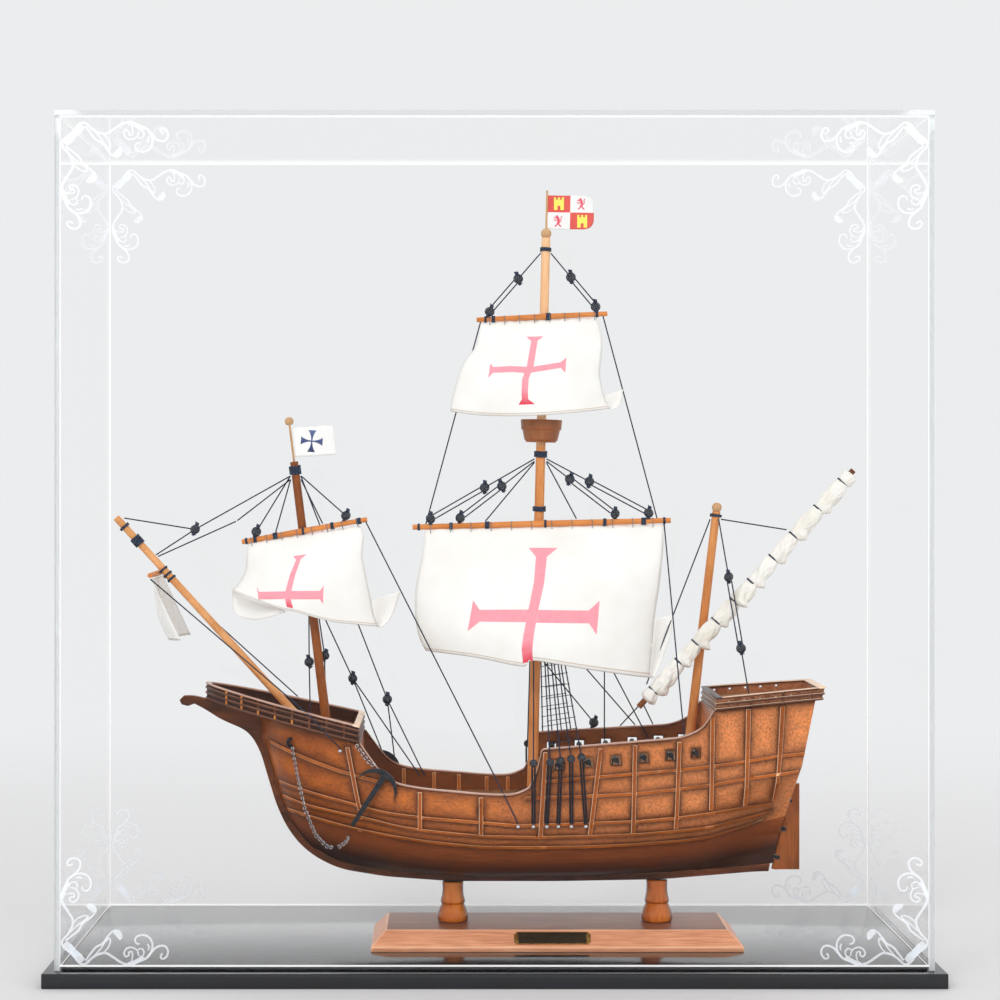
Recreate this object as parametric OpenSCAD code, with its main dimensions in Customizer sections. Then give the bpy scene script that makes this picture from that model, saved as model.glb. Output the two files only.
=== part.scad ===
// Display case: a clear cover on a black base plate, with a model carrack on a wooden stand.
// Millimetres, +Z up, the front faces -Y, the origin is under the centre of the base plate.

/* [Case] */
// Outer width of the clear cover
cover_w = 700; // [660:5:900]
// Outer depth of the clear cover
cover_d = 300; // [260:5:500]
// Outer height of the clear cover
cover_h = 685; // [660:5:900]
// Thickness of the clear panels
panel_t = 4; // [2:0.5:8]
// How far the base plate stands out past the cover on every side
base_lip = 9; // [4:1:30]
// Thickness of the base plate
base_t = 12; // [6:1:30]
// Thickness of the plate that keeps the cover in place
locator_t = 3; // [2:0.5:6]
// Play between the locating plate and the cover
locator_gap = 1; // [0.5:0.25:3]

/* [Stand] */
// Length of the stand board at its foot
board_l = 307; // [280:1:340]
// Width of the stand board at its foot
board_w = 108; // [80:1:140]
// Thickness of the stand board
board_t = 16.4; // [12:0.2:30]
// Height of the upright band under the bevel
board_edge = 4; // [2:0.5:8]
// Run of the bevel, measured flat
bevel_run = 12; // [6:1:20]
// How far the board's middle is off the case's middle, to the right
board_x = 53; // [40:1:66]
// Length of the name plate
plaque_l = 63; // [30:1:100]
// How far the plate's middle lies from the board's middle
plaque_off = -4; // [-40:1:40]
// Height of the name plate along the bevel
plaque_h = 12; // [6:0.5:14]
// Thickness of the name plate
plaque_t = 0.8; // [0.5:0.1:2]
// Height of the turned pillars
pillar_h = 34; // [24:1:50]
// Widest diameter of the pillars
pillar_d = 26; // [18:1:34]
// Narrowest diameter of the pillars
pillar_neck_d = 18.5; // [12:0.5:24]
// Distance between the pillars
pillar_span = 172; // [120:1:200]

/* [Hull] */
// Length of the hull from stem to sternpost
hull_l = 448; // [420:1:460]
// Greatest width of the hull
hull_b = 150; // [130:1:160]
// Depth of the hull from its bottom to the poop
hull_h = 150; // [140:1:160]
// How far the ship's middle line lies in front of the case's middle
ship_front = 28; // [10:1:34]
// Depth of the keel and the stem
keel_depth = 5.5; // [3:0.5:8]
// Thickness of the keel and the stem
keel_t = 6; // [4:0.5:8]
// Thickness of the bulwarks
bulwark_t = 3; // [2:0.25:5]
// Thickness of the deck planking
deck_t = 1; // [0.6:0.1:2]
// Height of the wales
wale_h = 2.6; // [1.5:0.1:4]
// How far the wales stand out of the planking
wale_out = 1.4; // [0.8:0.1:2.5]
// Width of the ribs
rib_w = 3.4; // [2:0.1:5]
// How far the ribs stand out of the planking
rib_out = 2; // [1:0.1:3]
// Height of the forecastle and poop bulwarks
castle_h = 13; // [8:0.5:18]
// Height of the poop's sides
poop_h = 9.6; // [7:0.2:14]
// Thickness of the forecastle and poop bulwarks
castle_t = 3; // [2:0.25:4]
// Thickness of the rail caps
cap_t = 1.4; // [0.8:0.1:2.5]
// Width of the rail caps
cap_w = 4.6; // [3.4:0.1:6]
// Side of the square gun ports
port_s = 8; // [6.5:0.1:9]
// Diameter of the cannon barrels
cannon_d = 4.6; // [3:0.1:6]
// Thickness of the rudder
rudder_t = 5; // [3:0.5:7]
// Length of the rudder at its foot
rudder_l = 21; // [12:0.5:26]
// Length of the rudder at its head
rudder_head = 5.2; // [4:0.2:12]
// Diameter of the rudder's pins
pin_d = 2; // [1.5:0.1:2.5]
// Play around the rudder's pins
pin_gap = 0.3; // [0.2:0.05:0.6]

/* [Masts and yards] */
// Height of the main mast above its step
main_mast_l = 481; // [460:1:500]
// Diameter of the main mast at its foot
main_mast_d = 9; // [7:0.5:11]
// Diameter of the main mast at its head
main_head_d = 7.4; // [5:0.2:8]
// Height of the foremast above its step
fore_mast_l = 227; // [215:1:245]
// Diameter of the foremast
fore_mast_d = 8; // [6:0.5:9]
// Height of the mizzen mast above its step
mizzen_mast_l = 212; // [195:1:225]
// Diameter of the mizzen mast
mizzen_mast_d = 8; // [6:0.5:9]
// Length of the bowsprit
bowsprit_l = 231; // [216:1:236]
// Diameter of the bowsprit
bowsprit_d = 7; // [5:0.5:9]
// Length of the main yard
main_yard_l = 217; // [206:1:240]
// Diameter of the main yard
main_yard_d = 5.6; // [4:0.2:7]
// Length of the main topsail yard
top_yard_l = 110; // [100:1:130]
// Length of the fore yard
fore_yard_l = 107; // [100:1:116]
// Length of the spritsail yard
sprit_yard_l = 100; // [90:1:110]
// Diameter of the small yards
small_yard_d = 5; // [4:0.2:6]
// Length of the lateen yard
lateen_yard_l = 268; // [250:1:280]
// Diameter of the furled lateen sail
furl_d = 13; // [9:0.5:15]
// Diameter of the crow's nest at its rim
nest_d = 35; // [26:1:40]
// Height of the crow's nest
nest_h = 19; // [12:1:24]
// Wall of the crow's nest
nest_wall = 2; // [1.2:0.2:3]
// Diameter of the balls on the mast heads
truck_d = 9; // [8.4:0.2:11]
// Diameter of the flag staffs
staff_d = 1.8; // [1.2:0.1:2.4]

/* [Sails and rigging] */
// Thickness of the sail cloth
cloth_t = 0.8; // [0.5:0.1:1.5]
// Drop of the main sail
main_sail_h = 118; // [100:1:122]
// Drop of the main topsail
top_sail_h = 78; // [66:1:80]
// Drop of the foresail
fore_sail_h = 72; // [60:1:76]
// Drop of the spritsail
sprit_sail_h = 54; // [44:1:60]
// Length of the main flag
flag_l = 40; // [24:1:46]
// Height of the main flag
flag_h = 28; // [18:1:30]
// Diameter of the rigging lines
rope_d = 1.1; // [0.6:0.1:1.3]
// Diameter of the blocks
block_d = 7.6; // [5:0.2:8]
// Diameter of the anchor cable's links
link_d = 3.8; // [3.4:0.1:5]
// Diameter of the anchor cable's wire
link_wire = 0.8; // [0.5:0.05:0.9]
// Length of the anchors' shanks
anchor_l = 52; // [44:1:54]

/* [Hidden] */

round_fn = 48;
// A small step that keeps cutting tools clear of the faces they cut
cut = 1;

// ---- Case ----
base_w = cover_w + 2 * base_lip;
base_d = cover_d + 2 * base_lip;
inner_w = cover_w - 2 * panel_t;
inner_d = cover_d - 2 * panel_t;
wall_h = cover_h - panel_t;
floor_z = base_t + locator_t;

// ---- Stand ----
ship_y = -ship_front;
board_top = floor_z + board_t;
bevel_h = board_t - board_edge;
pillar_x = [board_x - pillar_span / 2, board_x + pillar_span / 2];
hull_z0 = board_top + pillar_h + keel_depth;
// The board and the hull keep their places along the case
bow_x = board_x - 0.554 * hull_l;

// ---- Hull form: stations along the hull and heights, both in per cent of its length and depth ----
bottom_curve = [
    [0, 77], [1.2, 70.5], [2.7, 55], [4.2, 40.5], [5.8, 30], [7.9, 21], [10, 15], [12.8, 10], [15.6, 6.6],
    [23.7, 2.6], [35.7, 0], [56.3, 0], [75.2, 1], [96, 5.5], [100, 6.5]
];
sheer_curve = [
    [0, 91.4], [19, 77.9], [21, 69.7], [23, 61.3], [24.8, 57], [26.3, 55.2], [31, 53], [36, 51.8],
    [41.6, 50.3], [45.8, 49.7], [48, 50.3], [50, 53.5], [51.4, 61], [52.3, 73.5], [52.7, 74.7],
    [78.3, 80], [81, 83.3], [82.4, 87], [83.2, 92.3], [84, 95.2], [100, 100]
];
deck_curve = [[19.3, 41], [52.3, 41], [52.7, 60], [83.6, 66.6]];
beam_curve = [
    [0, 4], [1.2, 14], [2.7, 27], [4.2, 38], [5.8, 47], [7.9, 56], [10, 64], [12.8, 71], [15.6, 77],
    [19, 83], [23.7, 90], [31, 96], [40, 100], [52, 100], [60, 98], [70, 93], [80, 86], [90, 76], [100, 60]
];
widest_curve = [[0, 86], [5, 75], [15, 62], [25, 45], [40, 38], [60, 38], [80, 44], [100, 64]];
fullness_curve = [
    [0, 1.2], [5, 1], [15, 0.75], [25, 0.58], [40, 0.48], [60, 0.5], [75, 0.7], [85, 1.2], [93, 2.6], [100, 5]
];
tumblehome_curve = [[0, 0], [20, 0], [40, 2], [60, 5], [80, 11], [100, 12]];
ring_steps = [0, 0.03, 0.12, 0.3, 0.6, 1];
stations = [
    0, 1.2, 2.7, 4.2, 5.8, 7.9, 10, 12.8, 15.6, 19, 19.3, 21, 23, 24.8, 26.3, 31, 36, 41.6, 45.8, 48, 50,
    51.4, 52.3, 52.7, 60, 70, 78.3, 81, 82.4, 83.2, 83.6, 84, 88, 92, 96, 100
];
rake_start = 75;
rake_slope = 0.22;
rake_level = 57;
open_from = 19.15;
open_to = 83.8;

function hull_x(u) = bow_x + u / 100 * hull_l;
function hull_z(p) = hull_z0 + p / 100 * hull_h;
function rake(u) = u < rake_start ? 0 : rake_slope * pow((u - rake_start) / (100 - rake_start), 2);
function leaned_x(u, z) = hull_x(u) + rake(u) * (z - hull_z(rake_level));
function bottom_z(u) = hull_z(lookup(u, bottom_curve));
function sheer_z(u) = hull_z(lookup(u, sheer_curve));
function widest_z(u) = min(sheer_z(u) - 1, max(bottom_z(u) + 1, hull_z(lookup(u, widest_curve))));
function half_beam(u) = lookup(u, beam_curve) / 100 * hull_b / 2;
function top_half(u) = half_beam(u) * (1 - lookup(u, tumblehome_curve) / 100);
function is_open(u) = u > open_from && u < open_to;
function deck_z(u) = hull_z(lookup(u, deck_curve));
function below_share(u, z) = max(0, min(1, (z - bottom_z(u)) / (widest_z(u) - bottom_z(u))));
function low_half(u, z) = keel_t / 2
    + (half_beam(u) - keel_t / 2) * pow(1 - pow(1 - below_share(u, z), 2), lookup(u, fullness_curve));
function above_share(u, z) = (z - widest_z(u)) / (sheer_z(u) - widest_z(u));
function side_half(u, z) = z <= widest_z(u)
    ? max(keel_t / 2, low_half(u, z))
    : half_beam(u) + (top_half(u) - half_beam(u)) * above_share(u, z);
// A point on the planking: side -1 is the front of the case, +1 the back
function on_side(u, z, side, out) = [leaned_x(u, z), ship_y + side * (side_half(u, z) + out), z];
function step_z(u, t) = bottom_z(u) + t * (widest_z(u) - bottom_z(u));
function both_sides(u, half) = concat(
    [for (p = half) [leaned_x(u, p[1]), ship_y - p[0], p[1]]],
    [for (i = [len(half) - 1 : -1 : 0]) [leaned_x(u, half[i][1]), ship_y + half[i][0], half[i][1]]]
);
function inner_half(u, z) = max(1, min(top_half(u), side_half(u, z)) - bulwark_t);
function floor_point(u) = is_open(u)
    ? [inner_half(u, deck_z(u)), deck_z(u)]
    : [0.8 * top_half(u) - 0.5, sheer_z(u)];
function rim_point(u) = [max(0.9 * top_half(u) - 0.4, top_half(u) - bulwark_t), sheer_z(u)];
function hull_ring(u) = both_sides(u, concat(
    [for (t = ring_steps) [side_half(u, step_z(u, t)), step_z(u, t)]],
    [[top_half(u), sheer_z(u)], rim_point(u), floor_point(u)]
));
function between(list, low, high) = [for (v = list) if (v > low && v < high) v];

function along_line(p, q, f) = p + f * (q - p);

// Skins a list of rings, each with the same number of points, whichever way round they run
function mean(points) = [for (p = points) 1] * points / len(points);
function ring_normal(r) = let (c = mean(r))
    [for (p = r) 1] * [for (j = [0 : len(r) - 1]) cross(r[j] - c, r[(j + 1) % len(r)] - c)];
function turned(list) = [for (i = [len(list) - 1 : -1 : 0]) list[i]];
module loft(rings) {
    forward = ring_normal(rings[1]) * (mean(rings[min(2, len(rings) - 1)]) - mean(rings[0])) > 0;
    good = forward ? rings : [for (r = rings) turned(r)];
    n = len(rings[0]);
    m = len(rings);
    polyhedron(
        points = [for (r = good) for (p = r) p],
        faces = concat(
            [[for (j = [0 : n - 1]) j]],
            [[for (j = [n - 1 : -1 : 0]) (m - 1) * n + j]],
            [for (i = [0 : m - 2]) for (j = [0 : n - 1]) [i * n + j, (i + 1) * n + j, (i + 1) * n + (j + 1) % n]],
            [for (i = [0 : m - 2]) for (j = [0 : n - 1]) [i * n + j, (i + 1) * n + (j + 1) % n, i * n + (j + 1) % n]]
        )
    );
}

// A straight round rod between two points
module rod(p, q, d, d2 = -1) {
    v = q - p;
    translate(p)
        rotate([0, acos(v[2] / norm(v)), atan2(v[1], v[0])])
            cylinder(h = norm(v), d1 = d, d2 = d2 < 0 ? d : d2, $fn = round_fn);
}

// ---- Case ----
module base_plate() {
    color("#1c1c1e") translate([-base_w / 2, -base_d / 2, 0]) cube([base_w, base_d, base_t]);
}

module locating_plate() {
    w = inner_w - 2 * locator_gap;
    d = inner_d - 2 * locator_gap;
    color("#2a2a2d") translate([-w / 2, -d / 2, base_t]) cube([w, d, locator_t]);
}

module long_panel(side) {
    y = side < 0 ? -cover_d / 2 : cover_d / 2 - panel_t;
    color("#dfe9ee", 0.25) translate([-cover_w / 2, y, base_t]) cube([cover_w, panel_t, wall_h]);
}

module end_panel(side) {
    x = side < 0 ? -cover_w / 2 : cover_w / 2 - panel_t;
    color("#dfe9ee", 0.25) translate([x, -inner_d / 2, base_t]) cube([panel_t, inner_d, wall_h]);
}

module panel_top() {
    color("#dfe9ee", 0.25) translate([-cover_w / 2, -cover_d / 2, base_t + wall_h])
        cube([cover_w, cover_d, panel_t]);
}

// ---- Stand ----
module bevelled_profile(width) {
    polygon([
        [-width / 2, 0], [width / 2, 0], [width / 2, board_edge], [width / 2 - bevel_run, board_t],
        [-width / 2 + bevel_run, board_t], [-width / 2, board_edge]
    ]);
}

module stand_board() {
    color("#8a4a33") translate([board_x, ship_y, floor_z]) intersection() {
        rotate([90, 0, 0]) linear_extrude(board_w, center = true) bevelled_profile(board_l);
        rotate([90, 0, 90]) linear_extrude(board_l, center = true) bevelled_profile(board_w);
    }
}

// Places its children on the middle of the front bevel, with +Z out of the bevel
module on_front_bevel() {
    translate([board_x + plaque_off, ship_y - board_w / 2 + bevel_run / 2, floor_z + board_edge + bevel_h / 2])
        rotate([90 - atan2(bevel_run, bevel_h), 0, 0])
            children();
}

module plaque_outline() {
    notch_d = plaque_h / 3;
    difference() {
        square([plaque_l, plaque_h], center = true);
        for (x = [-1, 1]) for (y = [-1, 1])
            translate([x * plaque_l / 2, y * plaque_h / 2]) circle(d = notch_d, $fn = round_fn);
    }
}

pin_head_d = 1.6;
pin_head_t = 0.5;
module name_plate() {
    color("#c9a24a") on_front_bevel() linear_extrude(plaque_t) plaque_outline();
}

module name_plate_pins() {
    color("#8f6f2c") on_front_bevel() for (x = [-1, 1])
        translate([x * (plaque_l / 2 - plaque_h / 4), 0, plaque_t])
            cylinder(d = pin_head_d, h = pin_head_t, $fn = round_fn);
}

function keel_foot_z(x) = bottom_z((x - bow_x) / hull_l * 100) - keel_depth;
module pillar(x) {
    reach = pillar_neck_d / 2 + 1;
    top = min(keel_foot_z(x - reach), keel_foot_z(x + reach)) - board_top;
    foot = pillar_d / 2;
    neck = pillar_neck_d / 2;
    translate([x, ship_y, board_top]) rotate_extrude($fn = round_fn) polygon([
        [0, 0], [foot - 2, 0], [foot, 2], [foot, 0.12 * top], [foot - 1, 0.2 * top], [neck + 1, 0.34 * top],
        [neck, 0.5 * top], [neck - 0.5, 0.58 * top], [neck + 2, 0.6 * top], [neck + 2, 0.66 * top],
        [neck - 1.5, 0.68 * top], [neck - 1, 0.82 * top], [neck + 1, 0.98 * top], [neck + 1, top], [0, top]
    ]);
}

module pillars() {
    color("#a35c32") for (x = pillar_x) pillar(x);
}

// ---- Hull ----
ports_u = [55.4, 60.8, 65.9, 71, 76, 80.6];
port_up = 9.4;
function port_z(u) = deck_z(u) + port_up;

module hull_solid() {
    loft([for (u = stations) hull_ring(u)]);
}

module port_cuts() {
    for (u = ports_u)
        translate([leaned_x(u, port_z(u)), ship_y, port_z(u)]) cube([port_s, 2 * hull_b, port_s], center = true);
}

module hull_shell() {
    color("#9c5527") difference() {
        hull_solid();
        port_cuts();
    }
}

// The keel and the stem follow the hull's bottom edge
keel_us = [for (p = bottom_curve) if (p[0] < 99) p[0]];
function edge_point(u) = [leaned_x(u, bottom_z(u)), bottom_z(u)];
function edge_normal(i) = let (
        a = edge_point(keel_us[max(0, i - 1)]),
        b = edge_point(keel_us[min(len(keel_us) - 1, i + 1)]),
        d = (b - a) / norm(b - a)
    ) [d[1], -d[0]];
// Head of the stem, forward of the hull: per cent of the hull's length and height
knee_under = [[-1.6, 78.5], [-2.8, 81.5], [-4.6, 83.5], [-8, 88], [-10, 92.5], [-12.4, 96]];
knob = [[-13.6, 94.6], [-14.8, 95.6], [-15.2, 98], [-14.4, 100.4], [-12.6, 101]];
// Line of the underside of the forecastle, the same slope as the hull's top edge there
function castle_floor_z(u) = hull_z(91.4 - (91.4 - 77.9) * u / 19);
knee_top_u = -9.6;
module keel_and_stem() {
    outer = [for (i = [0 : len(keel_us) - 1]) edge_point(keel_us[i]) + keel_depth * edge_normal(i)];
    last = len(keel_us) - 1;
    aft_foot = [leaned_x(99.4, outer[last][1]), outer[last][1]];
    aft_top = [leaned_x(99.4, bottom_z(99.4)), bottom_z(99.4)];
    color("#8c4a22") translate([0, ship_y, 0]) rotate([90, 0, 0]) linear_extrude(keel_t, center = true)
        polygon(concat(
            [for (i = [0 : last]) edge_point(keel_us[i])],
            [aft_top, aft_foot],
            [for (i = [last : -1 : 0]) outer[i]],
            [for (p = concat(knee_under, knob)) [hull_x(p[0]), hull_z(p[1])]],
            [[hull_x(knee_top_u), castle_floor_z(knee_top_u)], [hull_x(0), castle_floor_z(0)]]
        ));
}

// A plank deck lying on the hull's floor between two stations
deck_gap = 0.3;
module plank_deck(from, to) {
    us = between(stations, from, to);
    loft([for (u = us) both_sides(u, [
        [inner_half(u, deck_z(u)) - deck_gap, deck_z(u)],
        [inner_half(u, deck_z(u)) - deck_gap, deck_z(u) + deck_t]
    ])]);
}

module waist_deck() {
    color("#b98352") plank_deck(19.2, 52.35);
}

module quarter_deck() {
    color("#b98352") plank_deck(52.65, 83.7);
}

// ---- Forecastle and poop: trays that sit on the hull's closed ends ----
fore_plan = [[-10, 6], [-8.6, 20], [-6.4, 33], [-2.2, 51], [3.3, 67], [10, 79], [15, 84.5], [18.95, 88]];
poop_plan = [[84.05, 78.5], [88, 75], [92, 70], [96, 64.5], [100.8, 58]];
function poop_floor_z(u) = hull_z(95.2 + (100 - 95.2) * (u - 84) / 16);
function tray_at(plan, u, floor_up, half_less, up) = let (z = floor_up + up)
    [max(0.6, lookup(u, plan) / 100 * hull_b / 2 - half_less), z];
tray_floor_t = 2;

module fore_slab(z_low, z_high, inset, end_inset) {
    first = fore_plan[0][0] + end_inset;
    last = fore_plan[len(fore_plan) - 1][0] - end_inset;
    us = concat([first], between([for (p = fore_plan) p[0]], first + 0.3, last - 0.3), [last]);
    loft([for (u = us) both_sides(u, [
        tray_at(fore_plan, u, castle_floor_z(u), inset, z_low),
        tray_at(fore_plan, u, castle_floor_z(u), inset, z_high)
    ])]);
}

module poop_slab(z_low, z_high, inset, end_inset) {
    first = poop_plan[0][0] + end_inset;
    last = poop_plan[len(poop_plan) - 1][0] - end_inset;
    us = concat([first], between([for (p = poop_plan) p[0]], first + 0.3, last - 0.3), [last]);
    loft([for (u = us) both_sides(u, [
        tray_at(poop_plan, u, poop_floor_z(u), inset, z_low),
        tray_at(poop_plan, u, poop_floor_z(u), inset, z_high)
    ])]);
}

castle_end = castle_t / hull_l * 100;
module forecastle() {
    color("#7a4424") difference() {
        fore_slab(0, castle_h, 0, 0);
        fore_slab(tray_floor_t, castle_h + cut, castle_t, castle_end);
    }
}

module forecastle_deck() {
    color("#b98352")
        fore_slab(tray_floor_t, tray_floor_t + deck_t, castle_t + deck_gap, castle_end + 0.1);
}

// Round holes through the poop's sides, between its posts
poop_holes = [86.1, 88.7, 91.2, 93.6, 96];
poop_hole_d = 2.4;
module poop() {
    color("#7a4424") difference() {
        poop_slab(0, poop_h, 0, 0);
        poop_slab(tray_floor_t, poop_h + cut, castle_t, castle_end);
        for (u = poop_holes) let (z = poop_floor_z(u) + 0.72 * poop_h)
            translate([leaned_x(u, z), ship_y - hull_b / 2, z]) rotate([-90, 0, 0])
                cylinder(d = poop_hole_d, h = hull_b, $fn = pin_round);
    }
}

module poop_deck() {
    color("#b98352")
        poop_slab(tray_floor_t, tray_floor_t + deck_t, castle_t + deck_gap, castle_end + 0.1);
}

cap_over = (cap_w - castle_t) / 2;
cap_end = cap_over / hull_l * 100;
module forecastle_rail() {
    color("#c08a5c") difference() {
        fore_slab(castle_h, castle_h + cap_t, -cap_over, -cap_end);
        fore_slab(castle_h - cut, castle_h + cap_t + cut, castle_t + cap_over, castle_end + cap_end);
    }
}

module poop_rail() {
    color("#c08a5c") difference() {
        poop_slab(poop_h, poop_h + cap_t, -cap_over, -cap_end);
        poop_slab(poop_h - cut, poop_h + cap_t + cut, castle_t + cap_over, castle_end + cap_end);
    }
}

// Mouldings run round the trays, in three rows forward and two aft
moulding_h = 1.8;
moulding_out = 1;
fore_rows = [0.2, 0.38 * castle_h, 0.72 * castle_h];
poop_rows = [0.2, 0.48 * poop_h];
module castle_mouldings() {
    end = moulding_out / hull_l * 100;
    color("#6b3a1f") {
        for (low = fore_rows) difference() {
            fore_slab(low, low + moulding_h, -moulding_out, -end);
            fore_slab(low - cut, low + moulding_h + cut, 0, 0);
        }
        for (low = poop_rows) difference() {
            poop_slab(low, low + moulding_h, -moulding_out, -end);
            poop_slab(low - cut, low + moulding_h + cut, 0, 0);
        }
    }
}

// Posts between the rows
post_w = 1.6;
fore_posts = [-5.9, -2.9, 0.3, 3.5, 6.7, 9.9, 13.1, 16.3];
poop_posts = [87.3, 90, 92.4, 94.8, 97.2, 99.4];
module castle_post(u, plan, floor_z0, wall_h) {
    half = lookup(u, plan) / 100 * hull_b / 2;
    low = floor_z0 + fore_rows[0] + moulding_h;
    high = floor_z0 + wall_h;
    for (side = [-1, 1])
        translate([leaned_x(u, (low + high) / 2) - post_w / 2, ship_y + side * half, low])
            translate([0, side < 0 ? -moulding_out : -2, 0])
                cube([post_w, 2 + moulding_out, high - low]);
}

module castle_posts() {
    color("#8f5630") {
        difference() {
            for (u = fore_posts) castle_post(u, fore_plan, castle_floor_z(u), castle_h);
            fore_slab(-1, castle_h + 1, 0, 0);
            for (low = fore_rows) fore_slab(low, low + moulding_h, -moulding_out - 0.5, 0);
        }
        difference() {
            for (u = poop_posts) castle_post(u, poop_plan, poop_floor_z(u), poop_h);
            poop_slab(-1, poop_h + 1, 0, 0);
            for (low = poop_rows) poop_slab(low, low + moulding_h, -moulding_out - 0.5, 0);
        }
    }
}

// Rail caps on the bulwarks of the waist and the quarterdeck
module waist_rails() {
    us = between(stations, 19.2, 83.9);
    color("#c08a5c") for (side = [-1, 1])
        loft([for (u = us) let (
                mid = (top_half(u) + rim_point(u)[0]) / 2,
                z = sheer_z(u),
                x = leaned_x(u, z)
            ) [
                [x, ship_y + side * mid + cap_w / 2, z],
                [x, ship_y + side * mid + cap_w / 2, z + cap_t],
                [x, ship_y + side * mid - cap_w / 2, z + cap_t],
                [x, ship_y + side * mid - cap_w / 2, z]
            ]]);
}

// ---- Wales and ribs, laid on the planking ----
sunk = 1;
// Each wale: its course as [station, height], both in per cent
wales_at = [
    [[2.1, 75.7], [8.4, 69.1], [13.8, 63.8], [17.3, 60.7], [20.4, 58.8], [23, 56.8]],
    [
        [3.7, 53.3], [7.7, 50.7], [13.8, 46.7], [18.3, 44.1], [21.5, 41.4], [24.2, 39.9], [32, 37.4],
        [39.5, 36.1], [48, 33.8], [57.6, 34.8], [68.6, 35.4], [76, 36.7], [83.2, 39.1], [89.8, 41.3], [96, 42.3]
    ],
    [
        [4.3, 45.1], [9.1, 41.6], [20.8, 36.2], [27.5, 31.7], [40.6, 27.9], [51.5, 27.3], [68.6, 27.9],
        [83, 30.8], [96.5, 37.7]
    ],
    [
        [5, 37.5], [9.1, 35.5], [18.6, 29.7], [31.1, 24.4], [41.2, 21.5], [58.4, 21.5], [72.9, 22.6],
        [83, 24.7], [95.3, 32.3]
    ],
    [[52.8, 57.6], [62.5, 60], [76.6, 63], [83.2, 64.7], [89.8, 67.3], [95.8, 69.9], [100, 70.7]],
    [[49.2, 48.7], [69, 50.4], [76.6, 52.6], [83.2, 54.7], [89.8, 57.8], [95.8, 59.8], [99.5, 61]]
];
function wale_us(course) = concat(
    [course[0][0]],
    between(stations, course[0][0] + 0.5, course[len(course) - 1][0] - 0.5),
    [course[len(course) - 1][0]]
);
module side_strip(course, side) {
    loft([for (u = wale_us(course)) let (z = hull_z(lookup(u, course))) [
        on_side(u, z + wale_h / 2, side, -sunk),
        on_side(u, z + wale_h / 2, side, wale_out),
        on_side(u, z - wale_h / 2, side, wale_out),
        on_side(u, z - wale_h / 2, side, -sunk)
    ]]);
}

// Each rib runs from its foot to its head, each a station and a height in per cent
ribs_at = [
    [[19.2, 40.5], [16.9, 75.4]], [[30.2, 31.3], [30.2, 51.8]], [[41.3, 28.6], [41.3, 49.2]],
    [[52.1, 28], [53, 73.6]], [[61.1, 28.9], [63.1, 75.3]], [[69, 29.1], [69.4, 77]],
    [[76.9, 31.1], [77.6, 78.4]], [[83.5, 41.2], [83.5, 91.5]], [[90.2, 42.7], [89.5, 95.8]],
    [[96.2, 44.6], [95, 97.6]]
];
rib_steps = 5;
module side_rib(rib, side, grow) {
    du = (rib_w / 2 + grow) / hull_l * 100;
    loft([for (i = [0 : rib_steps]) let (
            at = along_line(rib[0], rib[1], i / rib_steps),
            u = at[0],
            z = hull_z(at[1])
        ) [
            on_side(u - du, z, side, -sunk),
            on_side(u - du, z, side, rib_out + grow),
            on_side(u + du, z, side, rib_out + grow),
            on_side(u + du, z, side, -sunk)
        ]]);
}

module all_ribs(grow) {
    for (rib = ribs_at) for (side = [-1, 1]) side_rib(rib, side, grow);
}

module ribs() {
    color("#c07a3a") difference() {
        all_ribs(0);
        hull_solid();
        port_cuts();
    }
}

module wales() {
    color("#b56c34") difference() {
        for (course = wales_at) for (side = [-1, 1]) side_strip(course, side);
        hull_solid();
        all_ribs(0.05);
        port_cuts();
    }
}

// Frames on the inner side of the bulwarks
frames_at = [26.7, 32.6, 37.4, 42.8, 46.9];
frame_w = 3;
frame_in = 1.5;
module inner_frames() {
    color("#c07a3a") difference() {
        for (u = frames_at) for (side = [-1, 1])
            translate([hull_x(u) - frame_w / 2, ship_y + side * (inner_half(u, deck_z(u)) - frame_in), 0])
                translate([0, side < 0 ? -bulwark_t : 0, deck_z(u) + deck_t])
                    cube([frame_w, bulwark_t, sheer_z(u) - deck_z(u) - deck_t - 1]);
        hull_solid();
    }
}

// ---- Rudder, hung on the sternpost by pins in rings ----
hang_back = 3;
hang_angle = atan(rake_slope);
rudder_low = bottom_z(100) - keel_depth;
rudder_high = hull_z(51);
rudder_rise = (rudder_high - rudder_low) / cos(hang_angle);
ring_h = 3;
ring_d = 4.8;
ring_play = 0.5;
ring_levels = [0.12, 0.45, 0.78];
pin_seat = 3;
pin_round = 24;

// Places its children on the rudder's axis, with +Z up the axis and +X aft
module on_rudder_axis() {
    translate([leaned_x(100, rudder_low) + hang_back, ship_y, rudder_low])
        rotate([0, hang_angle, 0])
            children();
}

module gudgeons() {
    to_post = hang_back * cos(hang_angle);
    color("#2b2b2d") on_rudder_axis() for (f = ring_levels)
        translate([0, 0, f * rudder_rise]) difference() {
            union() {
                cylinder(d = ring_d, h = ring_h, $fn = round_fn);
                translate([-to_post, -ring_d / 4, 0]) cube([to_post, ring_d / 2, ring_h]);
            }
            translate([0, 0, -cut]) cylinder(d = pin_d + 2 * pin_gap, h = ring_h + 2 * cut, $fn = pin_round);
        }
}

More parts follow.
